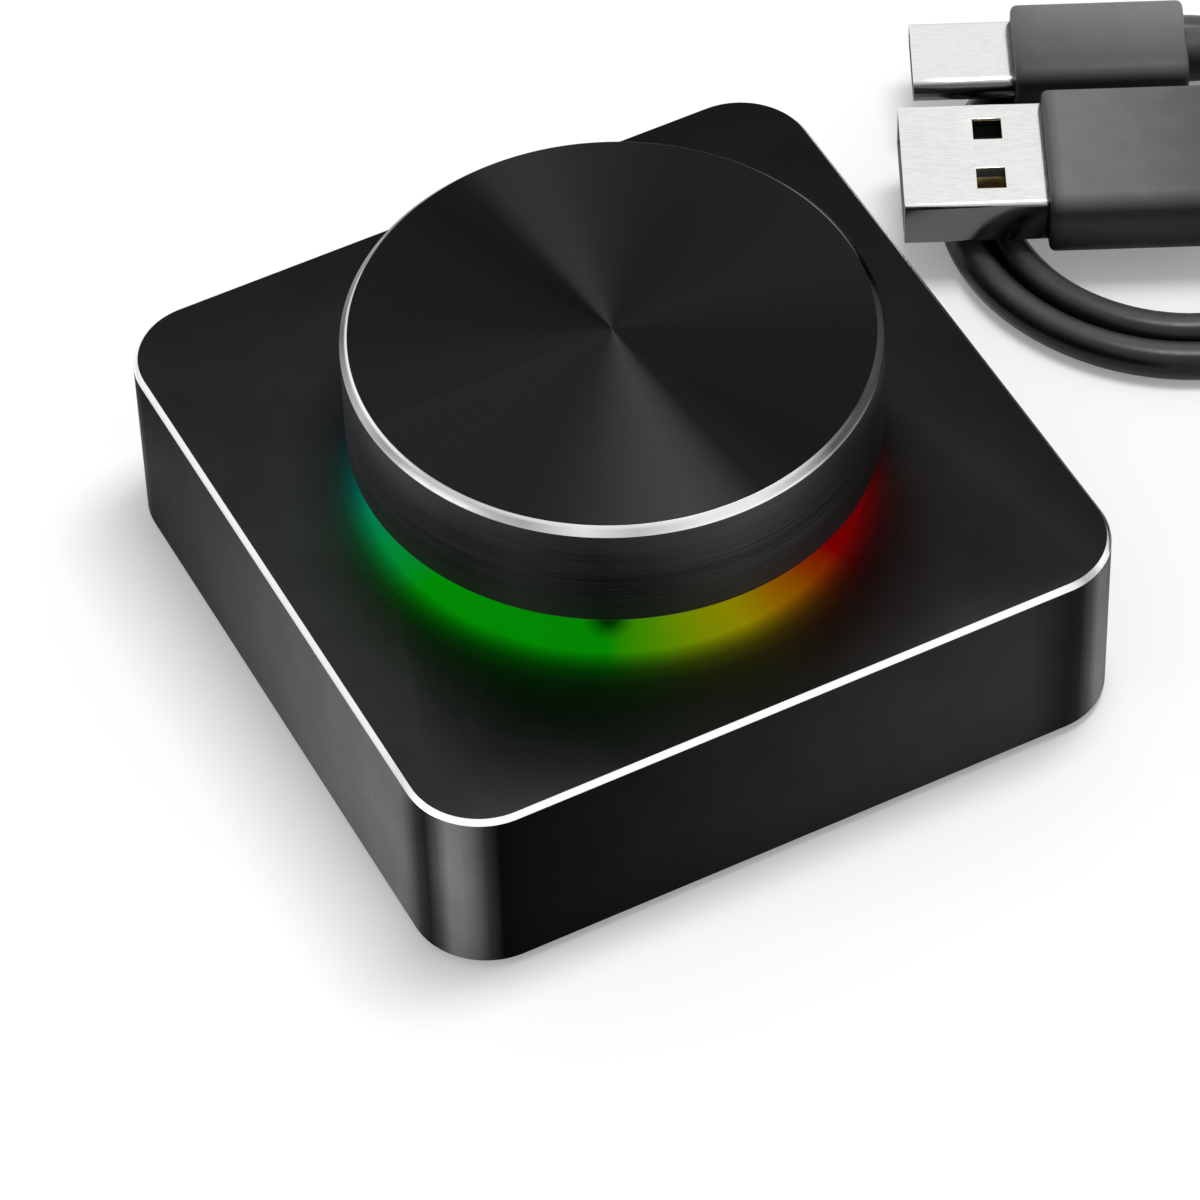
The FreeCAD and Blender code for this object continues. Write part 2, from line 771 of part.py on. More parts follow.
def lead(points, name):
    """Round cord along straight runs joined by arcs as large as the runs allow."""
    edges, start = [], points[0]
    for before, at, after in zip(points, points[1:], points[2:]):
        into, out = (at - before), (after - at)
        trim = bend_share * min(into.Length, out.Length)
        half_turn = into.getAngle(out) / 2
        radius = trim / math.tan(half_turn)
        print(name, "arc radius", round(radius, 1))
        into.normalize()
        out.normalize()
        bisector = (out - into).normalize()
        first, last = at - into * trim, at + out * trim
        middle = at + bisector * (math.hypot(radius, trim) - radius)
        edges += [Part.makeLine(start, first), Part.Arc(first, middle, last).toShape()]
        start = last
    edges.append(Part.makeLine(start, points[-1]))
    path = Part.Wire(edges)
    section = Part.Wire(Part.makeCircle(cord_d / 2, points[0], points[1] - points[0]))
    cord = path.makePipeShell([section], True, True)
    print(name, "length", round(path.Length, 1), "volume over section", round(
        cord.Volume / (math.pi * cord_d ** 2 / 4), 1))
    return laid(cord)


def cable_lead_c():
    """From the USB-C plug's strain relief into the far side of the waist."""
    start = Vec(usb_c_end, usb_c_axis, plug_rest + usb_c_body[2] / 2)
    end = Vec(waist_x, hank_y + hank_waist - cord_d, layer + cord_d / 2)
    run = (waist_x - usb_c_end) / 3
    return lead([start, start + Vec(run, 0, 0), end - Vec(run, 0, 0), end], "cable_lead_c")


def cable_lead_a():
    """From the USB-A plug's strain relief across the waist to the third strand."""
    start = Vec(usb_a_end, usb_a_axis, plug_rest + usb_a_body[2] / 2)
    angle = math.radians(strand_spread[0])
    radius = waist_r + 5 * cord_d / 2
    height = tie_thickness + 2 * fit + cord_d / 2
    end = Vec(waist_x + radius * math.sin(angle), hank_y - hank_waist - waist_r + radius * math.cos(angle),
              height)
    run = (waist_x - usb_a_end) / 2
    along = Vec(math.cos(angle), -math.sin(angle), 0)
    return lead([start, start + Vec(run, 0, 0), end - along * run, end], "cable_lead_a")


def plug_body(size, end, axis, z):
    """Moulded plug body with rounded edges, ending at X = end."""
    length, width, height = size
    body = box(end - length, end, axis - width / 2, axis + width / 2, z - height / 2, z + height / 2)
    return body.makeFillet(plug_body_round, [e for e in body.Edges])


def strain_relief(size, end, axis, z):
    """Round tapered sleeve on the lead, ending at X = end."""
    length, radius = size
    return Part.makeCone(radius, radius - relief_taper, length, Vec(end - length, axis, z), Vec(1, 0, 0))


usb_c_z = plug_rest + usb_c_body[2] / 2
usb_c_body_end = usb_c_end - usb_c_relief[0]
usb_c_face = usb_c_body_end - usb_c_body[0]
usb_a_z = plug_rest + usb_a_body[2] / 2
usb_a_body_end = usb_a_end - usb_a_relief[0]
usb_a_face = usb_a_body_end - usb_a_body[0]


def usb_c_plug_shell():
    """Bright sleeve with round sides."""
    length, width, height = usb_c_shell
    tip = usb_c_face - length
    sleeve = stadium(width, height, tip, usb_c_face, usb_c_axis, usb_c_z)
    hollow = stadium(width - 2 * plug_sheet, height - 2 * plug_sheet, tip - past, usb_c_face + past,
                     usb_c_axis, usb_c_z)
    return laid(sleeve.cut(hollow))


def usb_c_plug_contacts():
    """Contact strips against the inside of the sleeve's flat walls."""
    length, width, height = usb_c_shell
    inside = height / 2 - plug_sheet
    strips = []
    for low in (-inside, inside - contact_sheet):
        strips += contact_row(plug_contact_count, contact_pitch, contact_width,
                              usb_c_face - plug_contact_length, usb_c_face, low, low + contact_sheet)
    for strip in strips:
        strip.translate(Vec(0, usb_c_axis, usb_c_z))
    return [laid(strip) for strip in strips]


def usb_c_plug_body():
    """Moulded body of the USB-C plug."""
    return laid(plug_body(usb_c_body, usb_c_body_end, usb_c_axis, usb_c_z))


def usb_c_strain_relief():
    """Sleeve behind the USB-C plug's body."""
    return laid(strain_relief(usb_c_relief, usb_c_end, usb_c_axis, usb_c_z))


def usb_a_plug_shell():
    """Bright folded sleeve with two square windows in its top."""
    length, width, height = usb_a_shell
    tip = usb_a_face - length
    low, high = usb_a_axis - width / 2, usb_a_axis + width / 2
    bottom, top = usb_a_z - height / 2, usb_a_z + height / 2
    sleeve = box(tip, usb_a_face, low, high, bottom, top)
    sleeve = sleeve.cut(box(tip - past, usb_a_face + past, low + plug_sheet, high - plug_sheet,
                            bottom + plug_sheet, top - plug_sheet))
    for side in (-1, 1):
        sleeve = sleeve.cut(block(usb_a_hole, usb_a_hole, top - 2 * plug_sheet, top + past,
                                  tip + usb_a_hole_from_tip, usb_a_axis + side * usb_a_hole_spread))
    return laid(sleeve)


def usb_a_insulator():
    """Plastic tongue on the sleeve's floor."""
    length, width, height = usb_a_shell
    floor = usb_a_z - height / 2 + plug_sheet
    reach = width / 2 - plug_sheet - part_gap
    return laid(box(usb_a_face - length + plug_sheet, usb_a_face, usb_a_axis - reach, usb_a_axis + reach,
                    floor, floor + usb_a_tongue))


def usb_a_contacts():
    """Four strips on the tongue."""
    length, width, height = usb_a_shell
    low = usb_a_z - height / 2 + plug_sheet + usb_a_tongue
    strips = contact_row(usb_a_contact_count, usb_a_contact_pitch, usb_a_contact_width,
                         usb_a_face - length + past, usb_a_face, low, low + contact_sheet)
    for strip in strips:
        strip.translate(Vec(0, usb_a_axis, 0))
    return [laid(strip) for strip in strips]


def usb_a_plug_body():
    """Moulded body of the USB-A plug."""
    return laid(plug_body(usb_a_body, usb_a_body_end, usb_a_axis, usb_a_z))


def usb_a_strain_relief():
    """Sleeve behind the USB-A plug's body."""
    return laid(strain_relief(usb_a_relief, usb_a_end, usb_a_axis, usb_a_z))


# ---------------------------------------------------------------- files

pieces = [
    base_shell, bottom_cover, cover_screws, anti_slip_pad, ballast_plate,
    light_ring, centre_plate, led_board, leds, board_posts, board_connector,
    main_board, board_screws, controller_chip, driver_chip, capacitors, resistors,
    usb_socket_shell, usb_socket_tongue, usb_socket_contacts,
    encoder_housing, encoder_frame, encoder_bushing, encoder_washer, encoder_nut, encoder_shaft,
    encoder_rotor, rotor_contact_disc, detent_spring, wiper_contacts, encoder_terminals,
    switch_dome, switch_plunger,
    knob, knob_insert,
    usb_c_plug_shell, usb_c_plug_contacts, usb_c_plug_body, usb_c_strain_relief, cable_lead_c,
    cable_hank, cable_lead_a, usb_a_strain_relief, usb_a_plug_body, usb_a_plug_shell,
    usb_a_insulator, usb_a_contacts, cable_tie,
]

os.makedirs("parts", exist_ok=True)
for piece in pieces:
    made = piece()
    if isinstance(made, list):
        made = Part.makeCompound(made)
    made.exportStep("parts/" + piece.__name__ + ".step")
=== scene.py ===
import math

import bpy
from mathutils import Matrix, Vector


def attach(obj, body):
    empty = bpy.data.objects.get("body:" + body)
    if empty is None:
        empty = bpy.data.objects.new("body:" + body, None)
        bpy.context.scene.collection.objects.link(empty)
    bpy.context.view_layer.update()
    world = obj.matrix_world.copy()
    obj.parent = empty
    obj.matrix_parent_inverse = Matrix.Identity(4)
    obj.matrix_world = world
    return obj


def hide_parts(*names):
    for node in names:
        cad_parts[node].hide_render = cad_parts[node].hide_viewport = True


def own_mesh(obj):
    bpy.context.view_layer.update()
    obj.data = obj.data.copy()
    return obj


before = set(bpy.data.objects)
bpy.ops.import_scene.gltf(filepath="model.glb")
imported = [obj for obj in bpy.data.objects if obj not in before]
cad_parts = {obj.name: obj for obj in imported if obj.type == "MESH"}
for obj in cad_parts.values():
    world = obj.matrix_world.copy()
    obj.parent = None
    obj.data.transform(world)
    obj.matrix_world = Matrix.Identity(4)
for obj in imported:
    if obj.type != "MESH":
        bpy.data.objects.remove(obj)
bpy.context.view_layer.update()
mm = 0.001

# ------------------------------------------------------------------------------------------
# Camera, desk and studio. A person sits at the desk and looks down on the knob with a long
# lens. The desk is white and the bright room lights it evenly, with a weak soft lamp overhead
# and another at the left.

bpy.ops.object.camera_add(location=(-0.1572, -0.3197, 0.4015),
                          rotation=[math.radians(a) for a in (41.49, 1.298, -27.3896)])
camera = bpy.context.object
camera.data.lens = 200.9
camera.data.sensor_width = 36.0
bpy.context.scene.camera = camera
bpy.context.scene.view_settings.view_transform = "Standard"


def only_seen(nodes, links):
    """1 for the rays that show a surface: straight to the camera, in gloss and through glass."""
    path = nodes.new("ShaderNodeLightPath")
    seen = path.outputs["Is Camera Ray"]
    for kind in ("Is Glossy Ray", "Is Transmission Ray"):
        either = nodes.new("ShaderNodeMath")
        either.operation = "MAXIMUM"
        links.new(seen, either.inputs[0])
        links.new(path.outputs[kind], either.inputs[1])
        seen = either.outputs[0]
    return seen


def white_desk():
    """Desk that takes shadows: a pale surface, lifted to white where the eye falls on it."""
    surface = bpy.data.materials.new("white_desk")
    surface.use_nodes = True
    nodes, links = surface.node_tree.nodes, surface.node_tree.links
    paint = nodes["Principled BSDF"]
    paint.inputs["Base Color"].default_value = (0.80, 0.80, 0.80, 1)
    paint.inputs["Roughness"].default_value = 0.9
    paint.inputs["Specular IOR Level"].default_value = 0.0
    paint.inputs["Emission Color"].default_value = (1, 1, 1, 1)
    lift = nodes.new("ShaderNodeMath")
    lift.operation = "MULTIPLY"
    lift.inputs[1].default_value = 0.24
    links.new(only_seen(nodes, links), lift.inputs[0])
    links.new(lift.outputs[0], paint.inputs["Emission Strength"])
    return surface


desk_size, desk_drop = 6.0, 0.00002     # a hair below the pad, so that the two faces don't flicker
bpy.ops.mesh.primitive_plane_add(size=desk_size, location=(0, 0, -desk_drop))
desk = bpy.context.object
desk.name = "desk"
desk.data.materials.append(white_desk())

room = bpy.data.worlds.new("room")
bpy.context.scene.world = room
room.use_nodes = True
room_nodes, room_links = room.node_tree.nodes, room.node_tree.links
room_light = room_nodes["Background"]
room_light.inputs["Color"].default_value = (1, 1, 1, 1)
brightness = room_nodes.new("ShaderNodeMapRange")
brightness.inputs["To Min"].default_value = 0.45
brightness.inputs["To Max"].default_value = 1.0
room_links.new(only_seen(room_nodes, room_links), brightness.inputs["Value"])
room_links.new(brightness.outputs["Result"], room_light.inputs["Strength"])


def soft_lamp(name, place, aim, size, watts):
    """Rectangular soft lamp at a place, turned to what it lights."""
    bpy.ops.object.light_add(type="AREA", location=place)
    lamp = bpy.context.object
    lamp.name = name
    lamp.data.shape = "RECTANGLE"
    lamp.data.size, lamp.data.size_y = size
    lamp.data.energy = watts
    lamp.rotation_euler = (Vector(aim) - Vector(place)).to_track_quat("-Z", "Y").to_euler()


soft_lamp("lamp_overhead", (0.13, 0.02, 0.62), (0, 0, 0.03), (0.16, 0.30), 2.2)
soft_lamp("lamp_left", (-0.62, 0.05, 0.16), (0, 0, 0.01), (0.30, 0.22), 1.0)

# ------------------------------------------------------------------------------------------
# Cable: a black round cord, 3.2 mm thick, wound into a flat hank of two turns and a half
# that a tie pulls to a waist. It starts at the USB-C plug and ends at the USB-A plug.

cord_thick = 3.2
cable_corner = Vector((32.15, 6.5))
cable_turn = math.radians(-26.1)
hank_middle = Vector((52.4, 21.15))
lobe_r, lobe_pitch, waist_half = 21.0, 59.8, 14.95
waist_r = (lobe_pitch ** 2 / 4 + waist_half ** 2 - lobe_r ** 2) / (2 * (lobe_r - waist_half))
waist_angle = math.degrees(math.atan2(lobe_pitch / 2, waist_half + waist_r))
outer, inner, third, upper = 1.6, 4.85, 8.1, 3.2    # each turn's place, in from the hank's outside
low, at_tie = 1.6, 2.3                              # a turn's height, on the desk and over the tie
lobe_steps, waist_steps = 8, 4


def laid(x, y, z):
    """A place in the cable's own frame, in millimetres, as a point of the scene."""
    c, s = math.cos(cable_turn), math.sin(cable_turn)
    return Vector((cable_corner.x + c * x - s * y, cable_corner.y + s * x + c * y, z)) * mm


def round_lobe(side, insets, heights):
    """Points round one lobe, clockwise from above: the right lobe from its far end to its near one."""
    step = 2 * (90 + waist_angle) / lobe_steps
    points = []
    for i, (inset, height) in enumerate(zip(insets, heights)):
        angle = math.radians(side * (90 + waist_angle - step * (i + 0.5)))
        radius = (lobe_r - inset) / math.cos(math.radians(step / 2))
        points.append(laid(hank_middle.x + side * (lobe_pitch / 2 + radius * math.cos(angle)),
                           hank_middle.y + radius * math.sin(angle), height))
    return points


def along_waist(far, insets, heights, steps=range(waist_steps)):
    """Points along the waist: its far side from left to right, its near side from right to left."""
    step = 2 * waist_angle / waist_steps
    points = []
    for i, inset, height in zip(steps, insets, heights):
        angle = math.radians(far * (step * (i + 0.5) - waist_angle))
        radius = (waist_r + inset) / math.cos(math.radians(step / 2))
        points.append(laid(hank_middle.x + radius * math.sin(angle),
                           hank_middle.y + far * (waist_half + waist_r - radius * math.cos(angle)), height))
    return points


over_tie = (2.0, at_tie, at_tie, 2.0)
lead_c = [laid(32.9, 33.4, 6.0), laid(39.4, 33.4, 6.0), laid(45.9, 32.9, 5.4), laid(52.4, 32.9, 5.07)]
lead_a = [laid(61.96, 13.48, 2.6), laid(53.36, 14.78, 2.6), laid(43.7, 19.3, 6.7), laid(35.0, 19.3, 6.7)]
first_turn = (along_waist(1, (upper, upper), (5.07, 5.0), steps=(2, 3))
              + round_lobe(1, [upper] * 6 + [3.0, 2.4], (4.95, 4.7, 4.5, 4.5, 4.5, 4.7, 4.85, 4.3))
              + along_waist(-1, (1.7, outer, outer, outer), (2.9, at_tie, at_tie, 2.0))
              + round_lobe(-1, [outer] * lobe_steps, [low] * lobe_steps)
              + along_waist(1, [outer] * waist_steps, over_tie))
second_turn = (round_lobe(1, [outer] * 6 + [3.4, inner], [low] * lobe_steps)
               + along_waist(-1, [inner] * waist_steps, over_tie)
               + round_lobe(-1, [inner] * lobe_steps, [low] * lobe_steps)
               + along_waist(1, [inner] * waist_steps, over_tie))
last_half_turn = (round_lobe(1, [inner] * 5 + [6.4, third, third], [low] * lobe_steps)
                  + along_waist(-1, (third,), (at_tie,), steps=(0,)))
route = lead_c + first_turn + second_turn + last_half_turn + lead_a


def feed(finish, socket, value):
    """Give a node's input a value, or link it to another node's output."""
    if isinstance(value, bpy.types.NodeSocket):
        finish.node_tree.links.new(value, socket)
    else:
        socket.default_value = value


def set_to(finish, name, value):
    """Set one of the shader's inputs to a value, or drive it by a pattern."""
    feed(finish, finish.node_tree.nodes["Principled BSDF"].inputs[name], value)


def new_finish(name, colour, metallic=0.0, roughness=0.5, gloss=0.5):
    """A material, ready for the details of one finish."""
    finish = bpy.data.materials.new(name)
    finish.use_nodes = True
    set_to(finish, "Base Color", (*colour, 1))
    set_to(finish, "Metallic", metallic)
    set_to(finish, "Roughness", roughness)
    set_to(finish, "Specular IOR Level", gloss)
    return finish


def add(finish, kind, inputs=(), **settings):
    """Add a node: its settings by name, and each input as a value or as another node's output."""
    made = finish.node_tree.nodes.new("ShaderNode" + kind)
    for name, value in settings.items():
        setattr(made, name, value)
    for key, value in dict(inputs).items():
        feed(finish, made.inputs[key], value)
    return made


def times(finish, first, second):
    """Multiply two patterns, colours or places."""
    return add(finish, "VectorMath", {0: first, 1: second}, operation="MULTIPLY").outputs["Vector"]


def on_surface(finish, stretch=(1, 1, 1), turn=0.0):
    """A place on the piece, in millimetres, turned about Z and then stretched along the axes."""
    place = add(finish, "TexCoord").outputs["Object"]
    turned = add(finish, "Mapping", {"Vector": place, "Scale": [1 / mm] * 3, "Rotation": (0, 0, turn)})
    return times(finish, turned.outputs["Vector"], stretch)


def cloudy(finish, grain, stretch=(1, 1, 1), turn=0.0, detail=2.0):
    """Noise whose lumps are about this many millimetres across."""
    return add(finish, "TexNoise", {"Vector": on_surface(finish, stretch, turn), "Scale": 1 / grain,
                                    "Detail": detail}).outputs["Fac"]


def between(finish, amount, low_value, high_value, low_end=0.3, high_end=0.7):
    """Spread a 0-to-1 pattern between two values."""
    return add(finish, "MapRange", {"Value": amount, "From Min": low_end, "From Max": high_end,
                                    "To Min": low_value, "To Max": high_value}).outputs["Result"]


def blend_colours(finish, amount, first, second):
    """Mix two colours, or colour sockets, by a pattern."""
    mix = add(finish, "Mix", {"Factor": amount}, data_type="RGBA")
    for key, colour in ((6, first), (7, second)):
        feed(finish, mix.inputs[key], colour if isinstance(colour, bpy.types.NodeSocket) else (*colour, 1))
    return mix.outputs[2]


def uneven_gloss(finish, lump, smoothest, dullest):
    """Let the roughness drift between two values, in lumps of this many millimetres."""
    set_to(finish, "Roughness", between(finish, cloudy(finish, lump), smoothest, dullest))


def raise_by(finish, pattern, height):
    """Let a pattern stand out by this many millimetres."""
    bump = add(finish, "Bump", {"Height": pattern, "Distance": height * mm, "Strength": 1.0})
    set_to(finish, "Normal", bump.outputs["Normal"])


def moulded(name, colour, roughness=(0.45, 0.6), grain=0.12, height=0.006, gloss=0.5, vary=0.35):
    """Moulded plastic or rubber: fine grain, a faint cloudiness in colour and in gloss."""
    finish = new_finish(name, colour, gloss=gloss)
    lighter = [min(1.0, c * (1 + vary)) for c in colour]
    darker = [c * (1 - vary) for c in colour]
    set_to(finish, "Base Color",
           blend_colours(finish, between(finish, cloudy(finish, 2.5), 0, 1), darker, lighter))
    uneven_gloss(finish, 1.1, *roughness)
    raise_by(finish, cloudy(finish, grain, detail=3.0), height)
    return finish


def stops(finish, amount, positions):
    """A colour ramp through (position, colour) stops."""
    ramp = add(finish, "ValToRGB", {"Fac": amount})
    elements = ramp.color_ramp.elements
    while len(elements) < len(positions):
        elements.new(0.5)
    for element, (position, colour) in zip(elements, positions):
        element.position, element.color = position, (*colour, 1)
    return ramp.outputs["Color"]


def greys(finish, amount, shades):
    """A ramp through (position, grey) stops."""
    return stops(finish, amount, [(position, (grey, grey, grey)) for position, grey in shades])


def paint_light_and_shade(finish, pattern):
    """Paint light or shade into the colour of a finish: lighten or darken it by a pattern."""
    colour = finish.node_tree.nodes["Principled BSDF"].inputs["Base Color"].links[0].from_socket
    set_to(finish, "Base Color", times(finish, colour, pattern))


# painted highlight round the cord, with its top at 0.18: a soft light band painted between dark sides
painted_cord_highlight = [(0.02, 0.05), (0.09, 0.35), (0.15, 1.0), (0.21, 1.0), (0.27, 0.35), (0.34, 0.05)]
jacket = moulded("cord_jacket", (0.075, 0.075, 0.076), roughness=(0.24, 0.32), grain=0.3, height=0.0015,
                 gloss=0.22, vary=0.1)
round_cord = add(jacket, "SeparateXYZ", {"Vector": add(jacket, "TexCoord").outputs["UV"]}).outputs["Y"]
paint_light_and_shade(jacket, greys(jacket, round_cord, painted_cord_highlight))

line = bpy.data.curves.new("cord", "CURVE")
line.dimensions = "3D"
line.twist_mode = "Z_UP"
line.bevel_depth = 1.0        # times each point's radius
line.bevel_resolution = 5
line.resolution_u = 8
spline = line.splines.new("NURBS")
spline.points.add(len(route) - 1)
for knot, place in zip(spline.points, route):
    knot.co, knot.radius = (*place, 1), cord_thick / 2 * mm
spline.order_u = 3
spline.use_endpoint_u = True
cord = bpy.data.objects.new("cord", line)
bpy.context.collection.objects.link(cord)
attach(cord, "base")
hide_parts("cable_lead_c", "cable_hank", "cable_lead_a")
line.materials.append(jacket)

# ------------------------------------------------------------------------------------------
# Plug bodies: soft black plastic moulded over each plug and its crimp, with well rounded
# edges and a fine parting line where the two halves of the mould met.

# each plug lies along X at a y and z: its sleeve begins at the tip, its body at the front and its
# strain relief at the back, and its cord comes out at the end
usb_c = dict(y=33.4, z=6.0, tip=0.1, front=8.7, back=23.3, end=32.9, width=9.4, height=5.4, corner=1.5)
usb_a = dict(y=19.3, z=6.7, tip=-1.5, front=10.5, back=26.0, end=35.0, width=14.0, height=6.8, corner=1.6)
end_corner = 0.55


def pick(piece):
    """Select one piece alone and make it the active one."""
    bpy.ops.object.select_all(action="DESELECT")
    piece.select_set(True)
    bpy.context.view_layer.objects.active = piece


def settled(name):
    """Name the active object and move its place, turn and size into its mesh."""
    piece = bpy.context.object
    piece.name = piece.data.name = name
    bpy.ops.object.transform_apply(location=True, rotation=True, scale=True)
    return piece


def block(name, low_corner, high_corner):
    """A cube stretched between two corners, in millimetres, ready to be shaped."""
    low_corner, high_corner = Vector(low_corner), Vector(high_corner)
    bpy.ops.object.select_all(action="DESELECT")
    bpy.ops.mesh.primitive_cube_add(size=1, location=(low_corner + high_corner) / 2 * mm,
                                    scale=(high_corner - low_corner) * mm)
    return settled(name)


def choose_by(piece, *mode):
    """Make a piece active with nothing of its mesh chosen yet, by vertex, by edge or by face."""
    bpy.context.view_layer.objects.active = piece
    bpy.context.tool_settings.mesh_select_mode = mode
    for group in (piece.data.vertices, piece.data.edges, piece.data.polygons):
        group.foreach_set("select", [False] * len(group))


def open_edges(piece, test):
    """Select the edges whose two ends, in millimetres, pass a test, and open the piece for editing."""
    choose_by(piece, False, True, False)
    for edge in piece.data.edges:
        a, b = (piece.data.vertices[i].co / mm for i in edge.vertices)
        edge.select = test(a, b)
    bpy.ops.object.mode_set(mode="EDIT")


def close():
    """Leave editing."""
    bpy.ops.object.mode_set(mode="OBJECT")


def round_edges(piece, width, segments, test):
    """Round the chosen edges over."""
    open_edges(piece, test)
    bpy.ops.mesh.bevel(offset=width * mm, segments=segments, affect="EDGES", clamp_overlap=False)
    close()


def smooth(piece, angle=35):
    """Shade smoothly wherever two facets meet at a small angle."""
    pick(piece)
    bpy.ops.object.shade_smooth_by_angle(angle=math.radians(angle))


def lay_down(piece):
    """Turn and move a piece made in the cable's own frame to its place beside the base."""
    pick(piece)
    piece.rotation_euler.z = cable_turn
    piece.location = laid(0, 0, 0)
    bpy.ops.object.transform_apply(location=True, rotation=True, scale=True)


def finish_with(piece, body, slot, nodes, *finishes):
    """Give a finished piece its materials, its body and the nodes it stands for. The slot is not used."""
    piece.data.materials.clear()
    for finish in finishes:
        piece.data.materials.append(finish)
    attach(piece, body)
    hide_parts(*nodes)


def in_cable_frame(finish):
    """A place on the piece in the cable's own frame, in millimetres, as its X, Y and Z."""
    moved = add(finish, "VectorMath", {0: on_surface(finish), 1: (*cable_corner, 0)}, operation="SUBTRACT")
    turned = add(finish, "Mapping", {"Vector": moved.outputs["Vector"], "Rotation": (0, 0, -cable_turn)})
    return add(finish, "SeparateXYZ", {"Vector": turned.outputs["Vector"]}).outputs


def far_from(finish, measure, value):
    """How far a measure is from a value, either way."""
    off = add(finish, "Math", {0: measure, 1: value}, operation="SUBTRACT").outputs[0]
    return add(finish, "Math", {0: off}, operation="ABSOLUTE").outputs[0]


# painted light and shade by height, from the underside to the broad face: the sides are painted darker, with
# a soft band
painted_upright_shades = [(0.0, 0.03), (0.22, 0.08), (0.42, 0.30), (0.58, 0.36), (0.70, 0.20), (0.78, 0.22),
                  (0.88, 0.60), (0.96, 0.94), (1.0, 1.0)]


def long_block(name, plug, x0, x1, width, height, corner, segments):
    """Block on a plug's axis, its long edges rounded over."""
    y, z = plug["y"], plug["z"]
    piece = block(name, (x0, y - width / 2, z - height / 2), (x1, y + width / 2, z + height / 2))
    round_edges(piece, corner, segments, lambda a, b: abs(a.x - b.x) > (x1 - x0) / 2)
    return piece


def overmould(name, plug, x0, x1, width, height, along, across):
    """Soft dark plastic with painted light and shade by height, from end to end and from its near side
    to its far side, and with a thin raised parting line at mid height."""
    near, far, z = plug["y"] - width / 2, plug["y"] + width / 2, plug["z"]
    finish = moulded(name, (0.14, 0.14, 0.142), roughness=(0.46, 0.56), grain=0.10, height=0.004, gloss=0.15,
                     vary=0.06)
    x, y, up = in_cable_frame(finish)
    paint_light_and_shade(finish, greys(finish, between(finish, up, 0, 1, z - height / 2, z + height / 2), painted_upright_shades))
    paint_light_and_shade(finish, greys(finish, between(finish, x, 0, 1, x0, x1), along))
    paint_light_and_shade(finish, greys(finish, between(finish, y, 0, 1, near, far), across))
    height_in = finish.node_tree.nodes["Bump"].inputs["Height"]
    ridge = between(finish, far_from(finish, up, z), 6.0, 0.0, 0.03, 0.10)
    grain = height_in.links[0].from_socket
    feed(finish, height_in, add(finish, "Math", {0: grain, 1: ridge}, operation="ADD").outputs[0])
    return finish


def plug_body(name, node, plug, along, across):
    """Block with its long edges rounded far over and its ends less."""
    x0, x1, width, height = plug["front"], plug["back"], plug["width"], plug["height"]
    body = long_block(name, plug, x0, x1, width, height, plug["corner"], 8)
    round_edges(body, end_corner, 4, lambda a, b: abs(a.x - b.x) < 1e-3)
    smooth(body, 40)
    lay_down(body)
    finish_with(body, "base", "plug_overmould", [node],
                overmould(name, plug, x0, x1, width, height, along, across))
    return body


# painted light and shade along each plug body and across it, from its near side to its far side
usb_c_body = plug_body("usb_c_plug_overmould", "usb_c_plug_body", usb_c,
                       along=[(0.0, 0.7), (0.15, 0.9), (1.0, 1.05)], across=[(0.2, 0.7), (0.85, 1.35)])
usb_a_body = plug_body("usb_a_plug_overmould", "usb_a_plug_body", usb_a,
                       along=[(0.0, 0.55), (0.08, 1.25), (0.5, 1.0), (0.85, 0.68), (1.0, 0.5)],
                       across=[(0.0, 1.0), (1.0, 1.0)])

# ------------------------------------------------------------------------------------------
# Strain reliefs: short tapered sleeves of the same soft plastic, moulded on behind each plug,
# with a rounded end where the cord comes out.


def strain_relief(name, node, plug, radius, end_radius):
    """Tapered sleeve along the cord, its far edge rounded over."""
    x0, x1 = plug["back"], plug["end"]
    bpy.ops.object.select_all(action="DESELECT")
    bpy.ops.mesh.primitive_cone_add(vertices=64, radius1=radius * mm, radius2=end_radius * mm,
                                    depth=(x1 - x0) * mm, rotation=(0, math.radians(90), 0),
                                    location=Vector(((x0 + x1) / 2, plug["y"], plug["z"])) * mm)
    taper = settled(name)
    round_edges(taper, 0.35, 4, lambda a, b: a.x > x1 - 1e-3 and b.x > x1 - 1e-3)
    smooth(taper, 40)
    lay_down(taper)
    finish_with(taper, "base", "plug_overmould", [node],
                # painted light and shade along the strain relief and across it
                overmould(name, plug, x0, x1, 2 * radius, 2 * radius,
                          along=[(0.0, 0.55), (0.9, 0.75), (1.0, 0.9)],
                          across=[(0.0, 0.7), (0.6, 1.1), (1.0, 0.9)]))
    return taper


usb_c_relief = strain_relief("usb_c_relief", "usb_c_strain_relief", usb_c, radius=2.35, end_radius=2.0)
usb_a_relief = strain_relief("usb_a_relief", "usb_a_strain_relief", usb_a, radius=2.7, end_radius=2.35)

# ------------------------------------------------------------------------------------------
# Plug sleeves: bright nickel-plated sheet, 0.3 mm thick. The USB-C sleeve is drawn with round
# sides; the USB-A sleeve is folded, with two square windows that its socket's springs grip.


def open_faces(piece, test):
    """Select the faces whose middle and normal pass a test, and open the piece for editing."""
    choose_by(piece, False, False, True)
    for face in piece.data.polygons:
        face.select = test(face.center / mm, face.normal)
    bpy.ops.object.mode_set(mode="EDIT")


def bake(piece, modifier):
    """Apply a modifier to its piece."""
    bpy.context.view_layer.objects.active = piece
    bpy.ops.object.modifier_apply(modifier=modifier.name)


def combine(piece, tool, operation):
    """Cut a tool out of a piece, or weld it on, and remove the tool."""
    modifier = piece.modifiers.new("tool", "BOOLEAN")
    modifier.object, modifier.operation, modifier.solver = tool, operation, "EXACT"
    bake(piece, modifier)
    bpy.data.objects.remove(tool)


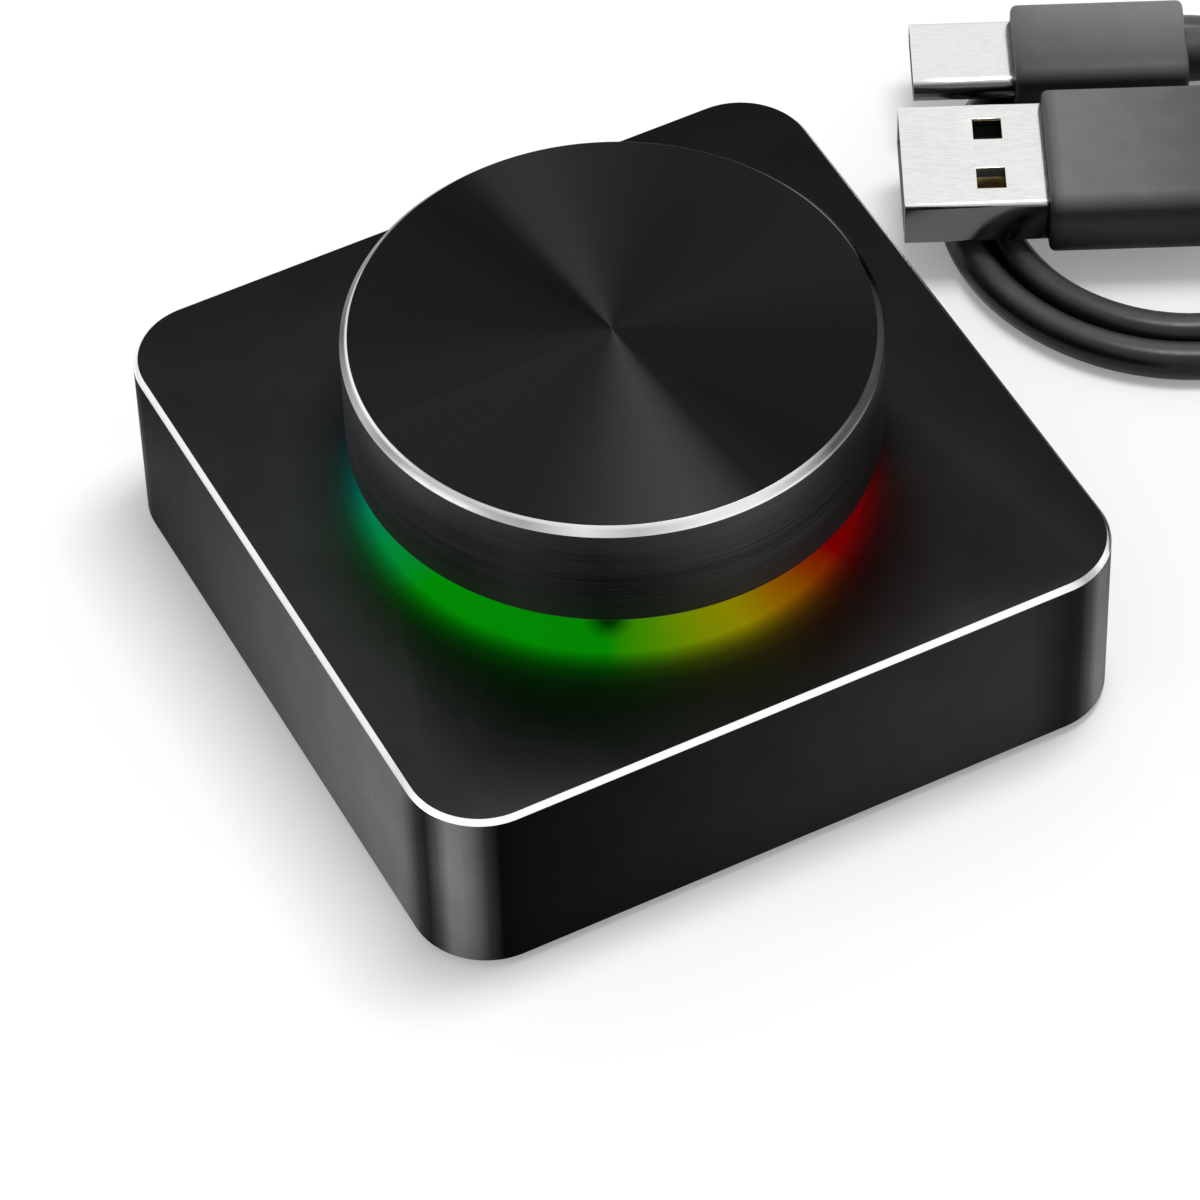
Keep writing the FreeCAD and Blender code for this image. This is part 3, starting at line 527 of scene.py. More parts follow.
def soften(piece, width, segments=2, angle=35):
    """Break the sharp edges that are left, and shade the piece smoothly across its facets."""
    modifier = piece.modifiers.new("broken_edges", "BEVEL")
    modifier.width, modifier.segments = width * mm, segments
    modifier.limit_method, modifier.angle_limit = "ANGLE", math.radians(angle)
    bake(piece, modifier)
    smooth(piece, angle)


def hollow_through(piece, along, thickness):
    """Take off the two end faces of a block along one axis and leave a tube of sheet metal."""
    open_faces(piece, lambda middle, normal: abs(normal[along]) > 0.9)
    bpy.ops.mesh.delete(type="FACE")
    close()
    modifier = piece.modifiers.new("sheet", "SOLIDIFY")
    modifier.thickness, modifier.offset, modifier.use_even_offset = thickness * mm, -1, True
    bake(piece, modifier)


def metal(name, colour, roughness=(0.2, 0.3), lines=(1, 1, 1), turn=0.0, grain=0.25, height=0.002, dull=0.86):
    """Bare or plated metal with rolling or turning marks, stretched along one way."""
    finish = new_finish(name, colour, metallic=1.0)
    marks = cloudy(finish, grain, lines, turn, detail=3.0)
    darker = [c * dull for c in colour]
    set_to(finish, "Base Color", blend_colours(finish, between(finish, marks, 0, 1), darker, colour))
    uneven_gloss(finish, 1.6, *roughness)
    raise_by(finish, marks, height)
    return finish


sheet = 0.3
usb_c_sheet_width, usb_c_sheet_height = 8.25, 2.4
usb_a_sheet_width, usb_a_sheet_height = 12.0, 4.5
window, window_spread, window_x, window_depth = 2.4, 2.9, 5.8, 1.5


def nickel_sheet(name, broad_face):
    """Rolled and plated sheet: its broad face mirrors the light, and its sides are painted darker, a painted
    shade.
    """
    finish = metal(name, (0.86, 0.855, 0.84), roughness=(0.14, 0.22), lines=(0.12, 1, 1), turn=-cable_turn,
                   grain=0.12, height=0.0003)
    height = in_cable_frame(finish)["Z"]
    paint_light_and_shade(finish, between(finish, height, 0.14, 1.0, broad_face - 0.30, broad_face - 0.06))
    return finish


def sleeve(name, plug, width, height, corner, segments):
    """Open sleeve of sheet metal along X, with rounded long edges."""
    piece = long_block(name, plug, plug["tip"], plug["front"], width, height, corner, segments)
    hollow_through(piece, 0, sheet)
    return piece


usb_c_sleeve = sleeve("usb_c_sleeve", usb_c, usb_c_sheet_width, usb_c_sheet_height, corner=1.19, segments=10)
soften(usb_c_sleeve, 0.07, 2, 50)
lay_down(usb_c_sleeve)
finish_with(usb_c_sleeve, "base", "plug_metal", ["usb_c_plug_shell"],
            nickel_sheet("usb_c_nickel", usb_c["z"] + usb_c_sheet_height / 2))

usb_a_sleeve = sleeve("usb_a_sleeve", usb_a, usb_a_sheet_width, usb_a_sheet_height, corner=0.45, segments=4)
broad_face = usb_a["z"] + usb_a_sheet_height / 2
for window_y in (usb_a["y"] - window_spread, usb_a["y"] + window_spread):
    punch = block("punch", (window_x - window / 2, window_y - window / 2, broad_face - window_depth),
                  (window_x + window / 2, window_y + window / 2, broad_face + window_depth))
    combine(usb_a_sleeve, punch, "DIFFERENCE")
soften(usb_a_sleeve, 0.06, 2, 50)
lay_down(usb_a_sleeve)
finish_with(usb_a_sleeve, "base", "plug_metal", ["usb_a_plug_shell"],
            nickel_sheet("usb_a_nickel", broad_face))

# ------------------------------------------------------------------------------------------
# Plug insides: a black plastic tongue in the USB-A sleeve, and gold-plated contacts in both
# plugs. The solids have the right shape and only get their finish.


def dress(finish, *nodes):
    """Give solids that keep their shape a finish."""
    for node in nodes:
        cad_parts[node].material_slots[0].material = finish


black_plastic = moulded("black_plastic", (0.022, 0.022, 0.023), roughness=(0.38, 0.5))
gold = metal("gold_plate", (0.86, 0.62, 0.24), roughness=(0.18, 0.3))
dress(black_plastic, "usb_a_insulator")
dress(gold, "usb_a_contacts", "usb_c_plug_contacts")

# ------------------------------------------------------------------------------------------
# Cable tie: two black elastic strands pulled tight round the waist, side by side. They lean to
# the right as they go over the cord, and are pressed flat below it.

strand, pressed_flat = 1.04, 0.67
tie_pitch, tie_lean, tie_tilt = 1.85, 2.85, 4.0
far_side, near_side = hank_middle.y + waist_half, hank_middle.y - waist_half
# a strand's bends from the far side to the near one and back below: place, height, and 1 where it
# lies over the cord or -1 below it
tie_bends = [(far_side - 4.8, 7.1, 1), (near_side + 9.4, 5.6, 1), (near_side + 3.3, 4.6, 1),
             (near_side - 0.6, 4.2, 0.7), (near_side - 0.35, 0.45, -0.7), (near_side + 3.1, 0.35, -1),
             (hank_middle.y, 0.35, -1), (far_side - 3.1, 0.35, -1), (far_side + 0.2, 0.35, -0.8),
             (far_side + 0.85, 2.7, 0), (far_side - 1.85, 7.45, 0.8)]


def joined(pieces):
    """Several loose shapes as one object."""
    bpy.ops.object.select_all(action="DESELECT")
    for piece in pieces:
        piece.select_set(True)
    bpy.context.view_layer.objects.active = pieces[0]
    bpy.ops.object.join()
    return pieces[0]


def tie_strand(number, x):
    """One closed strand round both groups of turns, as a mesh."""
    loop = bpy.data.curves.new("tie_strand", "CURVE")
    loop.dimensions = "3D"
    loop.bevel_depth, loop.bevel_resolution, loop.resolution_u = strand / 2 * mm, 4, 8
    path = loop.splines.new("NURBS")
    path.points.add(len(tie_bends) - 1)
    for knot, (y, z, over) in zip(path.points, tie_bends):
        across = x + over * tie_tilt / 2 + tie_lean * (hank_middle.y - y) / (far_side - near_side)
        knot.co = (*(Vector((across, y, z)) * mm), 1)
        knot.radius = pressed_flat if over < 0 else 1.0
    path.order_u, path.use_cyclic_u = 3, True
    piece = bpy.data.objects.new("tie_strand_%d" % number, loop)
    bpy.context.collection.objects.link(piece)
    pick(piece)
    bpy.ops.object.convert(target="MESH")
    return bpy.context.object


tie = joined([tie_strand(1, hank_middle.x - tie_pitch / 2), tie_strand(2, hank_middle.x + tie_pitch / 2)])
tie.name = "tie"
smooth(tie, 60)
lay_down(tie)
elastic = moulded("elastic", (0.05, 0.05, 0.051), roughness=(0.25, 0.35), grain=0.3, height=0.004)
# painted light and shade: the strands are painted dark low down, under the cord, and lighter where they go
# over it
paint_light_and_shade(elastic, between(elastic, in_cable_frame(elastic)["Z"], 0.08, 1.0, 1.5, 4.0))
finish_with(tie, "base", "tie_cord", ["cable_tie"], elastic)

# ------------------------------------------------------------------------------------------
# Base case: aluminium, milled hollow from below, bead-blasted and anodised black. Its top
# edge is then cut bright with a diamond tool. Screw bosses hang from the roof inside.

case_side, corner_r, wall, roof = 60.0, 6.2, 2.0, 2.0
half = case_side / 2
foot, top = 0.8, 17.3
edge_in, edge_down = 0.37, 0.46
light_window_r = 18.6
cut_beyond = 25.0             # the cut edge lies farther from the axis than this, the window's rim nearer
cover_boss_out, cover_boss_r, cover_top = 24.0, 4.4, 2.6
board_boss_x, board_boss_y, board_boss_r, board_top = 25.8, 13.0, 2.4, 9.3
screw_hole_r, screw_reach = 1.05, 4.1
socket_z, slot_width, slot_height = 6.12, 9.14, 3.36
past = 1.0                    # how far a tool reaches beyond what it cuts


def bar(name, radius, z0, z1, x=0.0, y=0.0, sides=64):
    """An upright cylinder, in millimetres, ready to be shaped."""
    bpy.ops.object.select_all(action="DESELECT")
    bpy.ops.mesh.primitive_cylinder_add(vertices=sides, radius=radius * mm, depth=(z1 - z0) * mm,
                                        location=Vector((x, y, (z0 + z1) / 2)) * mm)
    return settled(name)


def inset(thickness, depth=0.0):
    """Draw the chosen faces in from their rim, and outwards by a depth, in millimetres."""
    bpy.ops.mesh.inset(thickness=thickness * mm, depth=depth * mm)


def extrude_up(height):
    """Pull the chosen faces upwards, in millimetres."""
    bpy.ops.mesh.extrude_region_move(TRANSFORM_OT_translate={"value": (0, 0, height * mm)})


def mill(piece, cut_in, cut_down, side_wall, depth):
    """Slope the top edge of a solid shape, and hollow it from below inside a side wall."""
    open_faces(piece, lambda middle, normal: normal.z > 0.9)
    inset(cut_in, cut_down)
    close()
    open_faces(piece, lambda middle, normal: normal.z < -0.9)
    inset(side_wall)
    extrude_up(depth)
    close()


case = block("base_case", (-half, -half, foot), (half, half, top - edge_down))
round_edges(case, corner_r, 28, lambda a, b: abs(a.z - b.z) > 1)
mill(case, edge_in, edge_down, wall, top - roof - foot)

boss_places = [(x, y, cover_boss_r, cover_top)
               for x in (-cover_boss_out, cover_boss_out) for y in (-cover_boss_out, cover_boss_out)]
boss_places += [(x, y, board_boss_r, board_top)
                for x in (-board_boss_x, board_boss_x) for y in (-board_boss_y, board_boss_y)]
bosses = [bar("boss", r, z, top - roof + 0.5, x, y, sides=48) for x, y, r, z in boss_places]
combine(case, joined(bosses), "UNION")
holes = [bar("hole", screw_hole_r, z - past, z + screw_reach, x, y, sides=24) for x, y, _, z in boss_places]
combine(case, joined(holes), "DIFFERENCE")
combine(case, bar("window", light_window_r, top - roof - past, top + past, sides=180), "DIFFERENCE")
slot = block("slot", (-slot_width / 2, half - wall - past, socket_z - slot_height / 2),
             (slot_width / 2, half + past, socket_z + slot_height / 2))
round_edges(slot, slot_height / 2 - 0.01, 12, lambda a, b: abs(a.y - b.y) > 1)
combine(case, slot, "DIFFERENCE")
soften(case, 0.035, 2, 28)


def place_along(finish, axis):
    """A place on the piece along one axis, in millimetres."""
    return add(finish, "SeparateXYZ", {"Vector": on_surface(finish)}).outputs[axis]


def from_point(finish, point=(0, 0, 0), stretch=(1, 1, 0)):
    """Distance in plan from a point, or from the knob's axis, in millimetres."""
    return add(finish, "VectorMath", {0: on_surface(finish, stretch), 1: point},
               operation="DISTANCE").outputs["Value"]


def around_axis(finish, seam):
    """0 to 1 once round the knob's axis, anticlockwise from a seam given in degrees."""
    place = on_surface(finish, turn=math.radians(180 - seam))
    x, y, _ = add(finish, "SeparateXYZ", {"Vector": place}).outputs
    angle = add(finish, "Math", {0: y, 1: x}, operation="ARCTAN2").outputs[0]
    return between(finish, angle, 0, 1, -math.pi, math.pi)


def round_the_axis(finish, seam, shades):
    """Blend once round the axis through (degrees from +X, colour), with the join at a seam."""
    ordered = sorted(((degrees - seam) % 360 / 360, colour) for degrees, colour in shades)
    return stops(finish, around_axis(finish, seam), ordered)


def painted_sheen_round(finish, seam, sheen):
    """Painted sheen: blend once round the axis through (degrees from +X, share of the light returned)."""
    return round_the_axis(finish, seam, [(degrees, (share, share, share)) for degrees, share in sheen])


def give_faces(piece, top_z, cut_down, under, beyond=0.0):
    """Second finish for the flat top, third for the sloped cut round it: the faces down to a little
    under the foot of the cut, and beyond a distance from the axis."""
    for face in piece.data.polygons:
        place, normal = face.center / mm, face.normal
        if place.z > top_z - 0.02 and normal.z > 0.9:
            face.material_index = 1
        elif place.z > top_z - cut_down - under and normal.z > 0.2 and place.xy.length > beyond:
            face.material_index = 2


def blasted_black(name, seam, sheen):
    """Bead-blasted and anodised black: a fine even grain, faintly cloudy, and round the axis a stronger or
    weaker painted sheen."""
    finish = new_finish(name, (0.02, 0.02, 0.02), metallic=1.0)
    set_to(finish, "Specular Tint", (0.5, 0.5, 0.5, 1))
    cloud = between(finish, cloudy(finish, 6.0), 0.92, 1.08)
    set_to(finish, "Base Color", times(finish, painted_sheen_round(finish, seam, sheen), cloud))
    uneven_gloss(finish, 0.5, 0.38, 0.46)
    raise_by(finish, cloudy(finish, 0.09, detail=3.0), 0.0008)
    return finish


# painted sheen: each wall is painted to shine more from its one end to the other, anticlockwise
# from above, and each corner has a painted bright upright band, a painted reflection, between two
# dark ones. A wall's values are the degrees and the sheen at its start, the same at its end, and by
# how many degrees the next corner's bands are shifted.
next_corner = 83
walls = [(-218, 0.0035, -143.5, 0.22, 0.2), (-128, 0.0055, -56, 0.034, -1.1), (-38, 0.010, 34, 0.06, 0.0),
         (52, 0.006, 124, 0.04, 0.0)]
painted_corner_bands = [(-5.0, 0.010), (-3.3, 0.022), (-1.1, 0.22), (0.7, 0.18), (3.0, 0.032), (3.8, 0.003)]
wall_seam = 51
painted_wall_sheen = []
for start, dim, end, bright, shift in walls:
    painted_wall_sheen += [(start, dim), (end, bright)]
    painted_wall_sheen += [(start + next_corner + shift + turn, share) for turn, share in painted_corner_bands]
case_sides = blasted_black("anodised_sides", wall_seam, painted_wall_sheen)
# and each wall is painted a little lighter low down, a painted light where the desk shines on it
paint_light_and_shade(case_sides, between(case_sides, place_along(case_sides, "Z"), 1.25, 0.85, 2, 16))

# painted reflection: the top's sheen round the axis is painted, and the top is painted darker in front of the
# knob, where the knob is mirrored in it
top_seam = 90
top_painted_sheen = [(-200, 0.020), (-180, 0.0215), (-145, 0.0205), (-125, 0.016), (-65, 0.0140), (-50, 0.012),
             (-20, 0.0115), (20, 0.0115), (60, 0.010), (90, 0.010), (120, 0.014), (140, 0.017)]
mirrored, mirrored_stretch = (-5.4, -8.2, 0), (1.1, 0.77, 0)
mirrored_r, unmirrored_r, darkest = 16.3, 25.9, 0.25
case_top = blasted_black("anodised_top", top_seam, top_painted_sheen)
from_mirrored = from_point(case_top, mirrored, mirrored_stretch)
paint_light_and_shade(case_top, between(case_top, from_mirrored, darkest, 1.0, mirrored_r, unmirrored_r))

# the light's colours round the axis, by degrees from +X: teal at the left, green at the front left,
# yellow and red at the front right, nothing at the right and violet and blue behind
light_seam = 150
rainbow = [(-210, (0.0, 0.035, 0.045)), (-204, (0.0, 0.09, 0.075)), (-196, (0.0, 0.13, 0.10)),
           (-188, (0.0, 0.20, 0.085)), (-178, (0.0, 0.23, 0.045)), (-163, (0.0, 0.245, 0.001)),
           (-119, (0.001, 0.225, 0.0)), (-110, (0.056, 0.235, 0.0)), (-100, (0.165, 0.235, 0.0)),
           (-90, (0.243, 0.215, 0.0)), (-80, (0.245, 0.10, 0.0)), (-70, (0.20, 0.027, 0.0)),
           (-62, (0.175, 0.0, 0.0)), (-40, (0.087, 0.0, 0.001)), (-27, (0.0, 0.0, 0.0)),
           (25, (0.0, 0.0, 0.0)), (55, (0.03, 0.0, 0.10)), (95, (0.0, 0.01, 0.16)),
           (135, (0.0, 0.02, 0.05)), (149, (0.0, 0.035, 0.045))]
# painted glow: the ring's light falling on the top is painted there as emission. The glow's middle lies two
# millimetres from the axis, to the front, and it dims outwards
glow_middle, glow_inner, glow_outer = (-0.94, -1.77, 0), 16.0, 34.0
painted_glow_fall = [(0.20, 1.0), (0.233, 0.62), (0.267, 0.34), (0.311, 0.14), (0.378, 0.05), (0.47, 0.024),
             (0.61, 0.013), (0.78, 0.006), (1.0, 0.0)]
painted_glow = greys(case_top, between(case_top, from_point(case_top, glow_middle), 0, 1, glow_inner, glow_outer),
             painted_glow_fall)
dim_spot, dim_spot_core, dim_spot_r, dim_spot_light = (-8.9, -16.0, 0), 0.5, 2.1, 0.15


def but_one_spot(finish):
    """1, but less in one small spot at the front, where two lamps leave a gap."""
    return between(finish, from_point(finish, dim_spot), dim_spot_light, 1.0, dim_spot_core, dim_spot_r)


# the case top glows with this painted light, in the light's colours
set_to(case_top, "Emission Color", round_the_axis(case_top, light_seam, rainbow))
set_to(case_top, "Emission Strength", times(case_top, painted_glow, but_one_spot(case_top)))

# painted reflection: the cut edge is painted bright where it faces the lit half of the room, and dark at the
# right and behind
cut_seam = 60
painted_cut_sheen = [(-230, 0.15), (-227, 0.92), (-147, 0.90), (-143, 0.74), (-140, 1.0), (-51.3, 1.0), (-50.4, 0.5),
             (-48.6, 0.42), (-47.4, 1.0), (-45.5, 1.0), (-43, 0.5), (-40, 0.15)]
bright_cut = metal("diamond_cut_edge", (1.0, 1.0, 1.0), roughness=(0.08, 0.14), lines=(1, 1, 8), grain=0.06,
                   height=0.0002, dull=0.96)
paint_light_and_shade(bright_cut, painted_sheen_round(bright_cut, cut_seam, painted_cut_sheen))

finish_with(case, "base", "anodised_base", ["base_shell"], case_sides, case_top, bright_cut)
give_faces(case, top, edge_down, under=0.02, beyond=cut_beyond)

# ------------------------------------------------------------------------------------------
# Under the case: a black plastic cover on four black screws, a zinc-plated steel weight stuck
# inside it, and a square silicone pad stuck below, over the screw heads.

pad_side, pad_corner = 55.0, 3.7
pad_half = pad_side / 2
pad = block("anti_slip_sheet", (-pad_half, -pad_half, 0), (pad_half, pad_half, foot))
round_edges(pad, pad_corner, 16, lambda a, b: abs(a.z - b.z) > 0.5)
soften(pad, 0.12, 3)
finish_with(pad, "base", "rubber_pad", ["anti_slip_pad"],
            moulded("silicone", (0.020, 0.020, 0.021), roughness=(0.7, 0.85), grain=0.25, height=0.02))

steel = metal("zinc_plated_steel", (0.52, 0.53, 0.55), roughness=(0.30, 0.42), grain=0.8)
black_steel = metal("black_screw_steel", (0.06, 0.06, 0.065), roughness=(0.30, 0.42), grain=0.3)
dress(black_plastic, "bottom_cover")
dress(black_steel, "cover_screws")
dress(steel, "ballast_plate")

# ------------------------------------------------------------------------------------------
# USB-C socket under the main board, its mouth in the back wall: a drawn nickel sleeve round a
# black plastic tongue with gold contacts.

socket_front, socket_length, socket_sheet = 29.7, 7.3, 0.25
socket_half_width, socket_half_height = 4.47, 1.58
mouth = block("usb_socket_sleeve",
              (-socket_half_width, socket_front - socket_length, socket_z - socket_half_height),
              (socket_half_width, socket_front, socket_z + socket_half_height))
round_edges(mouth, socket_half_height - 0.01, 12, lambda a, b: abs(a.y - b.y) > 1)
hollow_through(mouth, 1, socket_sheet)
soften(mouth, 0.06, 2, 50)
finish_with(mouth, "base", "plug_metal", ["usb_socket_shell"],
            metal("drawn_nickel", (0.80, 0.80, 0.79), roughness=(0.2, 0.3), lines=(1, 0.12, 1), grain=0.12))
dress(black_plastic, "usb_socket_tongue")
dress(gold, "usb_socket_contacts")

# ------------------------------------------------------------------------------------------
# Boards: a green glass-fibre main board on four black screws, with copper tracks under its mask,
# and a white ring board for the lamps on four nylon posts, joined by a stacking connector.


def masked_board(name, mask, track, grain):
    """Solder mask over raised tracks that run square to each other."""
    finish = new_finish(name, mask, roughness=0.3)
    cells = add(finish, "TexVoronoi", {"Vector": on_surface(finish, stretch=(1, 1, 0)), "Scale": 1 / grain},
                feature="F1", distance="CHEBYCHEV")
    ripple = add(finish, "Math", {0: cells.outputs["Distance"], 1: 9.0}, operation="MULTIPLY").outputs[0]
    line_up = add(finish, "Math", {0: ripple, 1: 1.0}, operation="PINGPONG").outputs[0]
    tracks = between(finish, line_up, 0, 1, 0.35, 0.5)
    set_to(finish, "Base Color", blend_colours(finish, tracks, mask, track))
    uneven_gloss(finish, 1.5, 0.25, 0.38)
    raise_by(finish, tracks, 0.02)
    return finish


nylon = moulded("nylon", (0.55, 0.54, 0.50), roughness=(0.45, 0.6))
dress(masked_board("green_board", (0.008, 0.075, 0.03), (0.015, 0.13, 0.05), 5.0), "main_board")
dress(masked_board("white_board", (0.72, 0.72, 0.70), (0.78, 0.78, 0.76), 3.0), "led_board")
dress(nylon, "board_posts")
dress(black_steel, "board_screws")
dress(black_plastic, "board_connector")

# ------------------------------------------------------------------------------------------
# Parts on the boards: two black epoxy chips, rows of chip capacitors and resistors with tinned
# ends, and twelve lamps in white packages with a yellow gel window each.

epoxy = moulded("chip_epoxy", (0.018, 0.018, 0.019), roughness=(0.5, 0.65), grain=0.2, height=0.01)
dress(epoxy, "controller_chip", "driver_chip")

part_pitch = 3.2


def tinned_ends(name, colour, length):
    """Small ceramic block whose two ends, along X, are tinned metal."""
    finish = new_finish(name, colour, roughness=0.4)
    gap = (part_pitch - length) / 2
    x = place_along(finish, "X")
    shifted = add(finish, "Math", {0: x, 1: part_pitch / 2}, operation="ADD").outputs[0]
    along = add(finish, "Math", {0: shifted, 1: part_pitch / 2}, operation="PINGPONG").outputs[0]
    tinned = between(finish, along, 1, 0, gap + 0.25, gap + 0.3)
    darker = [c * 0.8 for c in colour]
    grainy = blend_colours(finish, between(finish, cloudy(finish, 0.3), 0, 1), darker, colour)
    set_to(finish, "Base Color", blend_colours(finish, tinned, grainy, (0.7, 0.7, 0.68)))
    set_to(finish, "Metallic", tinned)
    uneven_gloss(finish, 0.4, 0.28, 0.45)
    return finish


dress(tinned_ends("ceramic_capacitor", (0.42, 0.28, 0.15), 2.0), "capacitors")
dress(tinned_ends("black_resistor", (0.02, 0.02, 0.022), 1.6), "resistors")

lamp_circle, lamp_white, lamp_yellow = 18.825, (0.86, 0.86, 0.82), (0.80, 0.66, 0.16)
lamp_finish = new_finish("lamp_package", lamp_white, roughness=0.35)
off_circle = far_from(lamp_finish, from_point(lamp_finish), lamp_circle)
gel = between(lamp_finish, off_circle, 1, 0, 0.85, 0.95)
set_to(lamp_finish, "Base Color", blend_colours(lamp_finish, gel, lamp_white, lamp_yellow))
uneven_gloss(lamp_finish, 0.5, 0.3, 0.45)
dress(lamp_finish, "leds")

# ------------------------------------------------------------------------------------------
# Rotary encoder with a push switch: a grey plastic housing under a steel strap, a cast zinc
# bushing with a rolled thread, its nut and washer, and the turned shaft with its D.

grey_plastic = moulded("grey_plastic", (0.14, 0.14, 0.145), roughness=(0.45, 0.6))
dress(grey_plastic, "encoder_housing", "encoder_rotor", "switch_plunger")
spring_steel = metal("spring_steel", (0.66, 0.66, 0.64), roughness=(0.22, 0.32), grain=0.3)
dress(spring_steel, "encoder_frame", "detent_spring", "encoder_terminals")
dress(metal("cast_zinc", (0.62, 0.62, 0.63), roughness=(0.30, 0.42), grain=0.2, height=0.004),
      "encoder_bushing", "encoder_washer", "encoder_nut")
dress(metal("turned_steel", (0.68, 0.68, 0.68), roughness=(0.2, 0.3), lines=(0.3, 0.3, 8), grain=0.15),
      "encoder_shaft")
dress(gold, "rotor_contact_disc", "wiper_contacts")

# the snap dome of the switch: a thin disc whose two faces are raised to a flat crown. It gives
# way under the plunger when the knob is pressed.
dome_r, dome_crown, dome_foot, dome_top, dome_sheet = 2.35, 1.17, 9.8, 10.5, 0.1
dome = bar("snap_dome", dome_r, dome_foot, dome_foot + dome_sheet, sides=48)
for facing, rim in ((1, 0.001), (-1, dome_sheet)):
    open_faces(dome, lambda middle, normal: normal.z * facing > 0.9)
    inset(rim)
    inset(dome_r - dome_crown - rim, (dome_top - dome_foot - dome_sheet) * facing)
    close()
soften(dome, 0.02, 2, 12)
finish_with(dome, "base", "spring_steel", ["switch_dome"], spring_steel)
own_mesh(dome)

# ------------------------------------------------------------------------------------------
# Light ring: milky polycarbonate that stands 1.6 mm proud of the case round the shaft, lit from
# below in a rainbow. A black plastic plate with a dished underside fills its middle.

ring_r, ring_wall, ring_proud, flange_r, flange = 18.45, 2.2, 1.6, 20.6, 1.0
ring_under, ring_top = top - roof - flange, top + ring_proud
ring = bar("lit_ring", flange_r, ring_under, ring_under + flange, sides=180)
open_faces(ring, lambda middle, normal: normal.z > 0.9)
inset(flange_r - ring_r)
extrude_up(roof + ring_proud)
close()
combine(ring, bar("bore", ring_r - ring_wall, ring_under - past, ring_top + past, sides=180), "DIFFERENCE")
round_edges(ring, 0.45, 4,
            lambda a, b: min(a.z, b.z) > ring_top - 1e-3 and abs(a.xy.length - b.xy.length) < 0.05)
soften(ring, 0.05, 2, 40)

milky = new_finish("lit_polycarbonate", (0.75, 0.78, 0.76), roughness=0.35)
uneven_gloss(milky, 1.0, 0.3, 0.42)
set_to(milky, "Emission Color", round_the_axis(milky, light_seam, rainbow))
ring_height = place_along(milky, "Z")
# the ring is painted near black below the case top, a painted shade down in the window's gap, and it glows
# more strongly above the case
above_case = between(milky, ring_height, 0, 1, top + 0.15, top + 0.6)
set_to(milky, "Base Color", blend_colours(milky, above_case, (0.01, 0.01, 0.01), (0.6, 0.62, 0.6)))
set_to(milky, "Emission Strength",
       times(milky, between(milky, ring_height, 0.95, 3.0, top + 0.2, top + 0.9), but_one_spot(milky)))
raise_by(milky, cloudy(milky, 0.2), 0.003)
finish_with(ring, "base", "light_diffuser", ["light_ring"], milky)
dress(black_plastic, "centre_plate")

# ------------------------------------------------------------------------------------------
# Knob: a turned aluminium cap, anodised black, on a black plastic insert that grips the shaft.
# Its top is spun in fine rings, its side keeps the lathe's lines, and the edge between them is
# cut bright afterwards.

knob_r, knob_under, knob_top = 21.0, 20.3, 30.3
knob_wall, knob_roof = 2.4, 2.5
knob_edge_in, knob_edge_down = 0.61, 0.67

cap = bar("knob_cap", knob_r, knob_under, knob_top - knob_edge_down, sides=256)
mill(cap, knob_edge_in, knob_edge_down, knob_wall, knob_top - knob_roof - knob_under)
soften(cap, 0.04, 2, 28)

# the spun rings send the light out in a fan of bright and dark sectors, painted into the colour round the
# axis as a painted highlight
fan_seam = 180
painted_fan_sectors = [(-180, 1.45), (-150, 1.2), (-130, 1.33), (-112, 1.28), (-100, 1.45), (-92, 1.1), (-84, 0.38),
           (-72, 0.46), (-58, 0.76), (-28, 0.8), (-10, 1.07), (0, 1.15), (20, 0.88), (42, 0.74), (70, 0.77),
           (82, 1.1), (92, 1.0), (99, 0.28), (108, 0.22), (122, 0.54), (150, 0.8), (168, 1.25)]
spun = new_finish("spun_top", (0.012, 0.012, 0.0125), metallic=1.0, roughness=0.42)
set_to(spun, "Anisotropic", 0.92)
set_to(spun, "Anisotropic Rotation", 0.25)
rings = add(spun, "TexNoise", {"W": from_point(spun), "Scale": 9.0, "Detail": 3.0},
            noise_dimensions="1D").outputs["Fac"]
black_rings = blend_colours(spun, between(spun, rings, 0, 1), (0.010, 0.010, 0.0105), (0.016, 0.016, 0.0165))
set_to(spun, "Base Color", times(spun, black_rings, painted_sheen_round(spun, fan_seam, painted_fan_sectors)))
set_to(spun, "Roughness", between(spun, rings, 0.36, 0.46))
set_to(spun, "Tangent", add(spun, "Tangent", direction_type="RADIAL", axis="Z").outputs["Tangent"])
raise_by(spun, rings, 0.0006)

# the side is black, with lighter and darker upright bands painted round it as a painted sheen, and the
# lathe's lines run round it
side_seam = 150
side_painted_sheen = [(-200, 0.022), (-180, 0.015), (-150, 0.012), (-138, 0.022), (-130, 0.018), (-120, 0.008),
               (-110, 0.014), (-90, 0.042), (-78, 0.038), (-60, 0.013), (-45, 0.001), (-30, 0.008),
               (0, 0.02), (60, 0.03), (120, 0.02)]
turned_side = new_finish("turned_side", (0.02, 0.02, 0.02), gloss=0.2)
lathe = cloudy(turned_side, 0.22, stretch=(0.015, 0.015, 2.6), detail=5.0)
painted_side_bands = painted_sheen_round(turned_side, side_seam, side_painted_sheen)
set_to(turned_side, "Base Color", times(turned_side, painted_side_bands, between(turned_side, lathe, 0.5, 1.7)))
set_to(turned_side, "Roughness", between(turned_side, lathe, 0.30, 0.46))
raise_by(turned_side, lathe, 0.006)
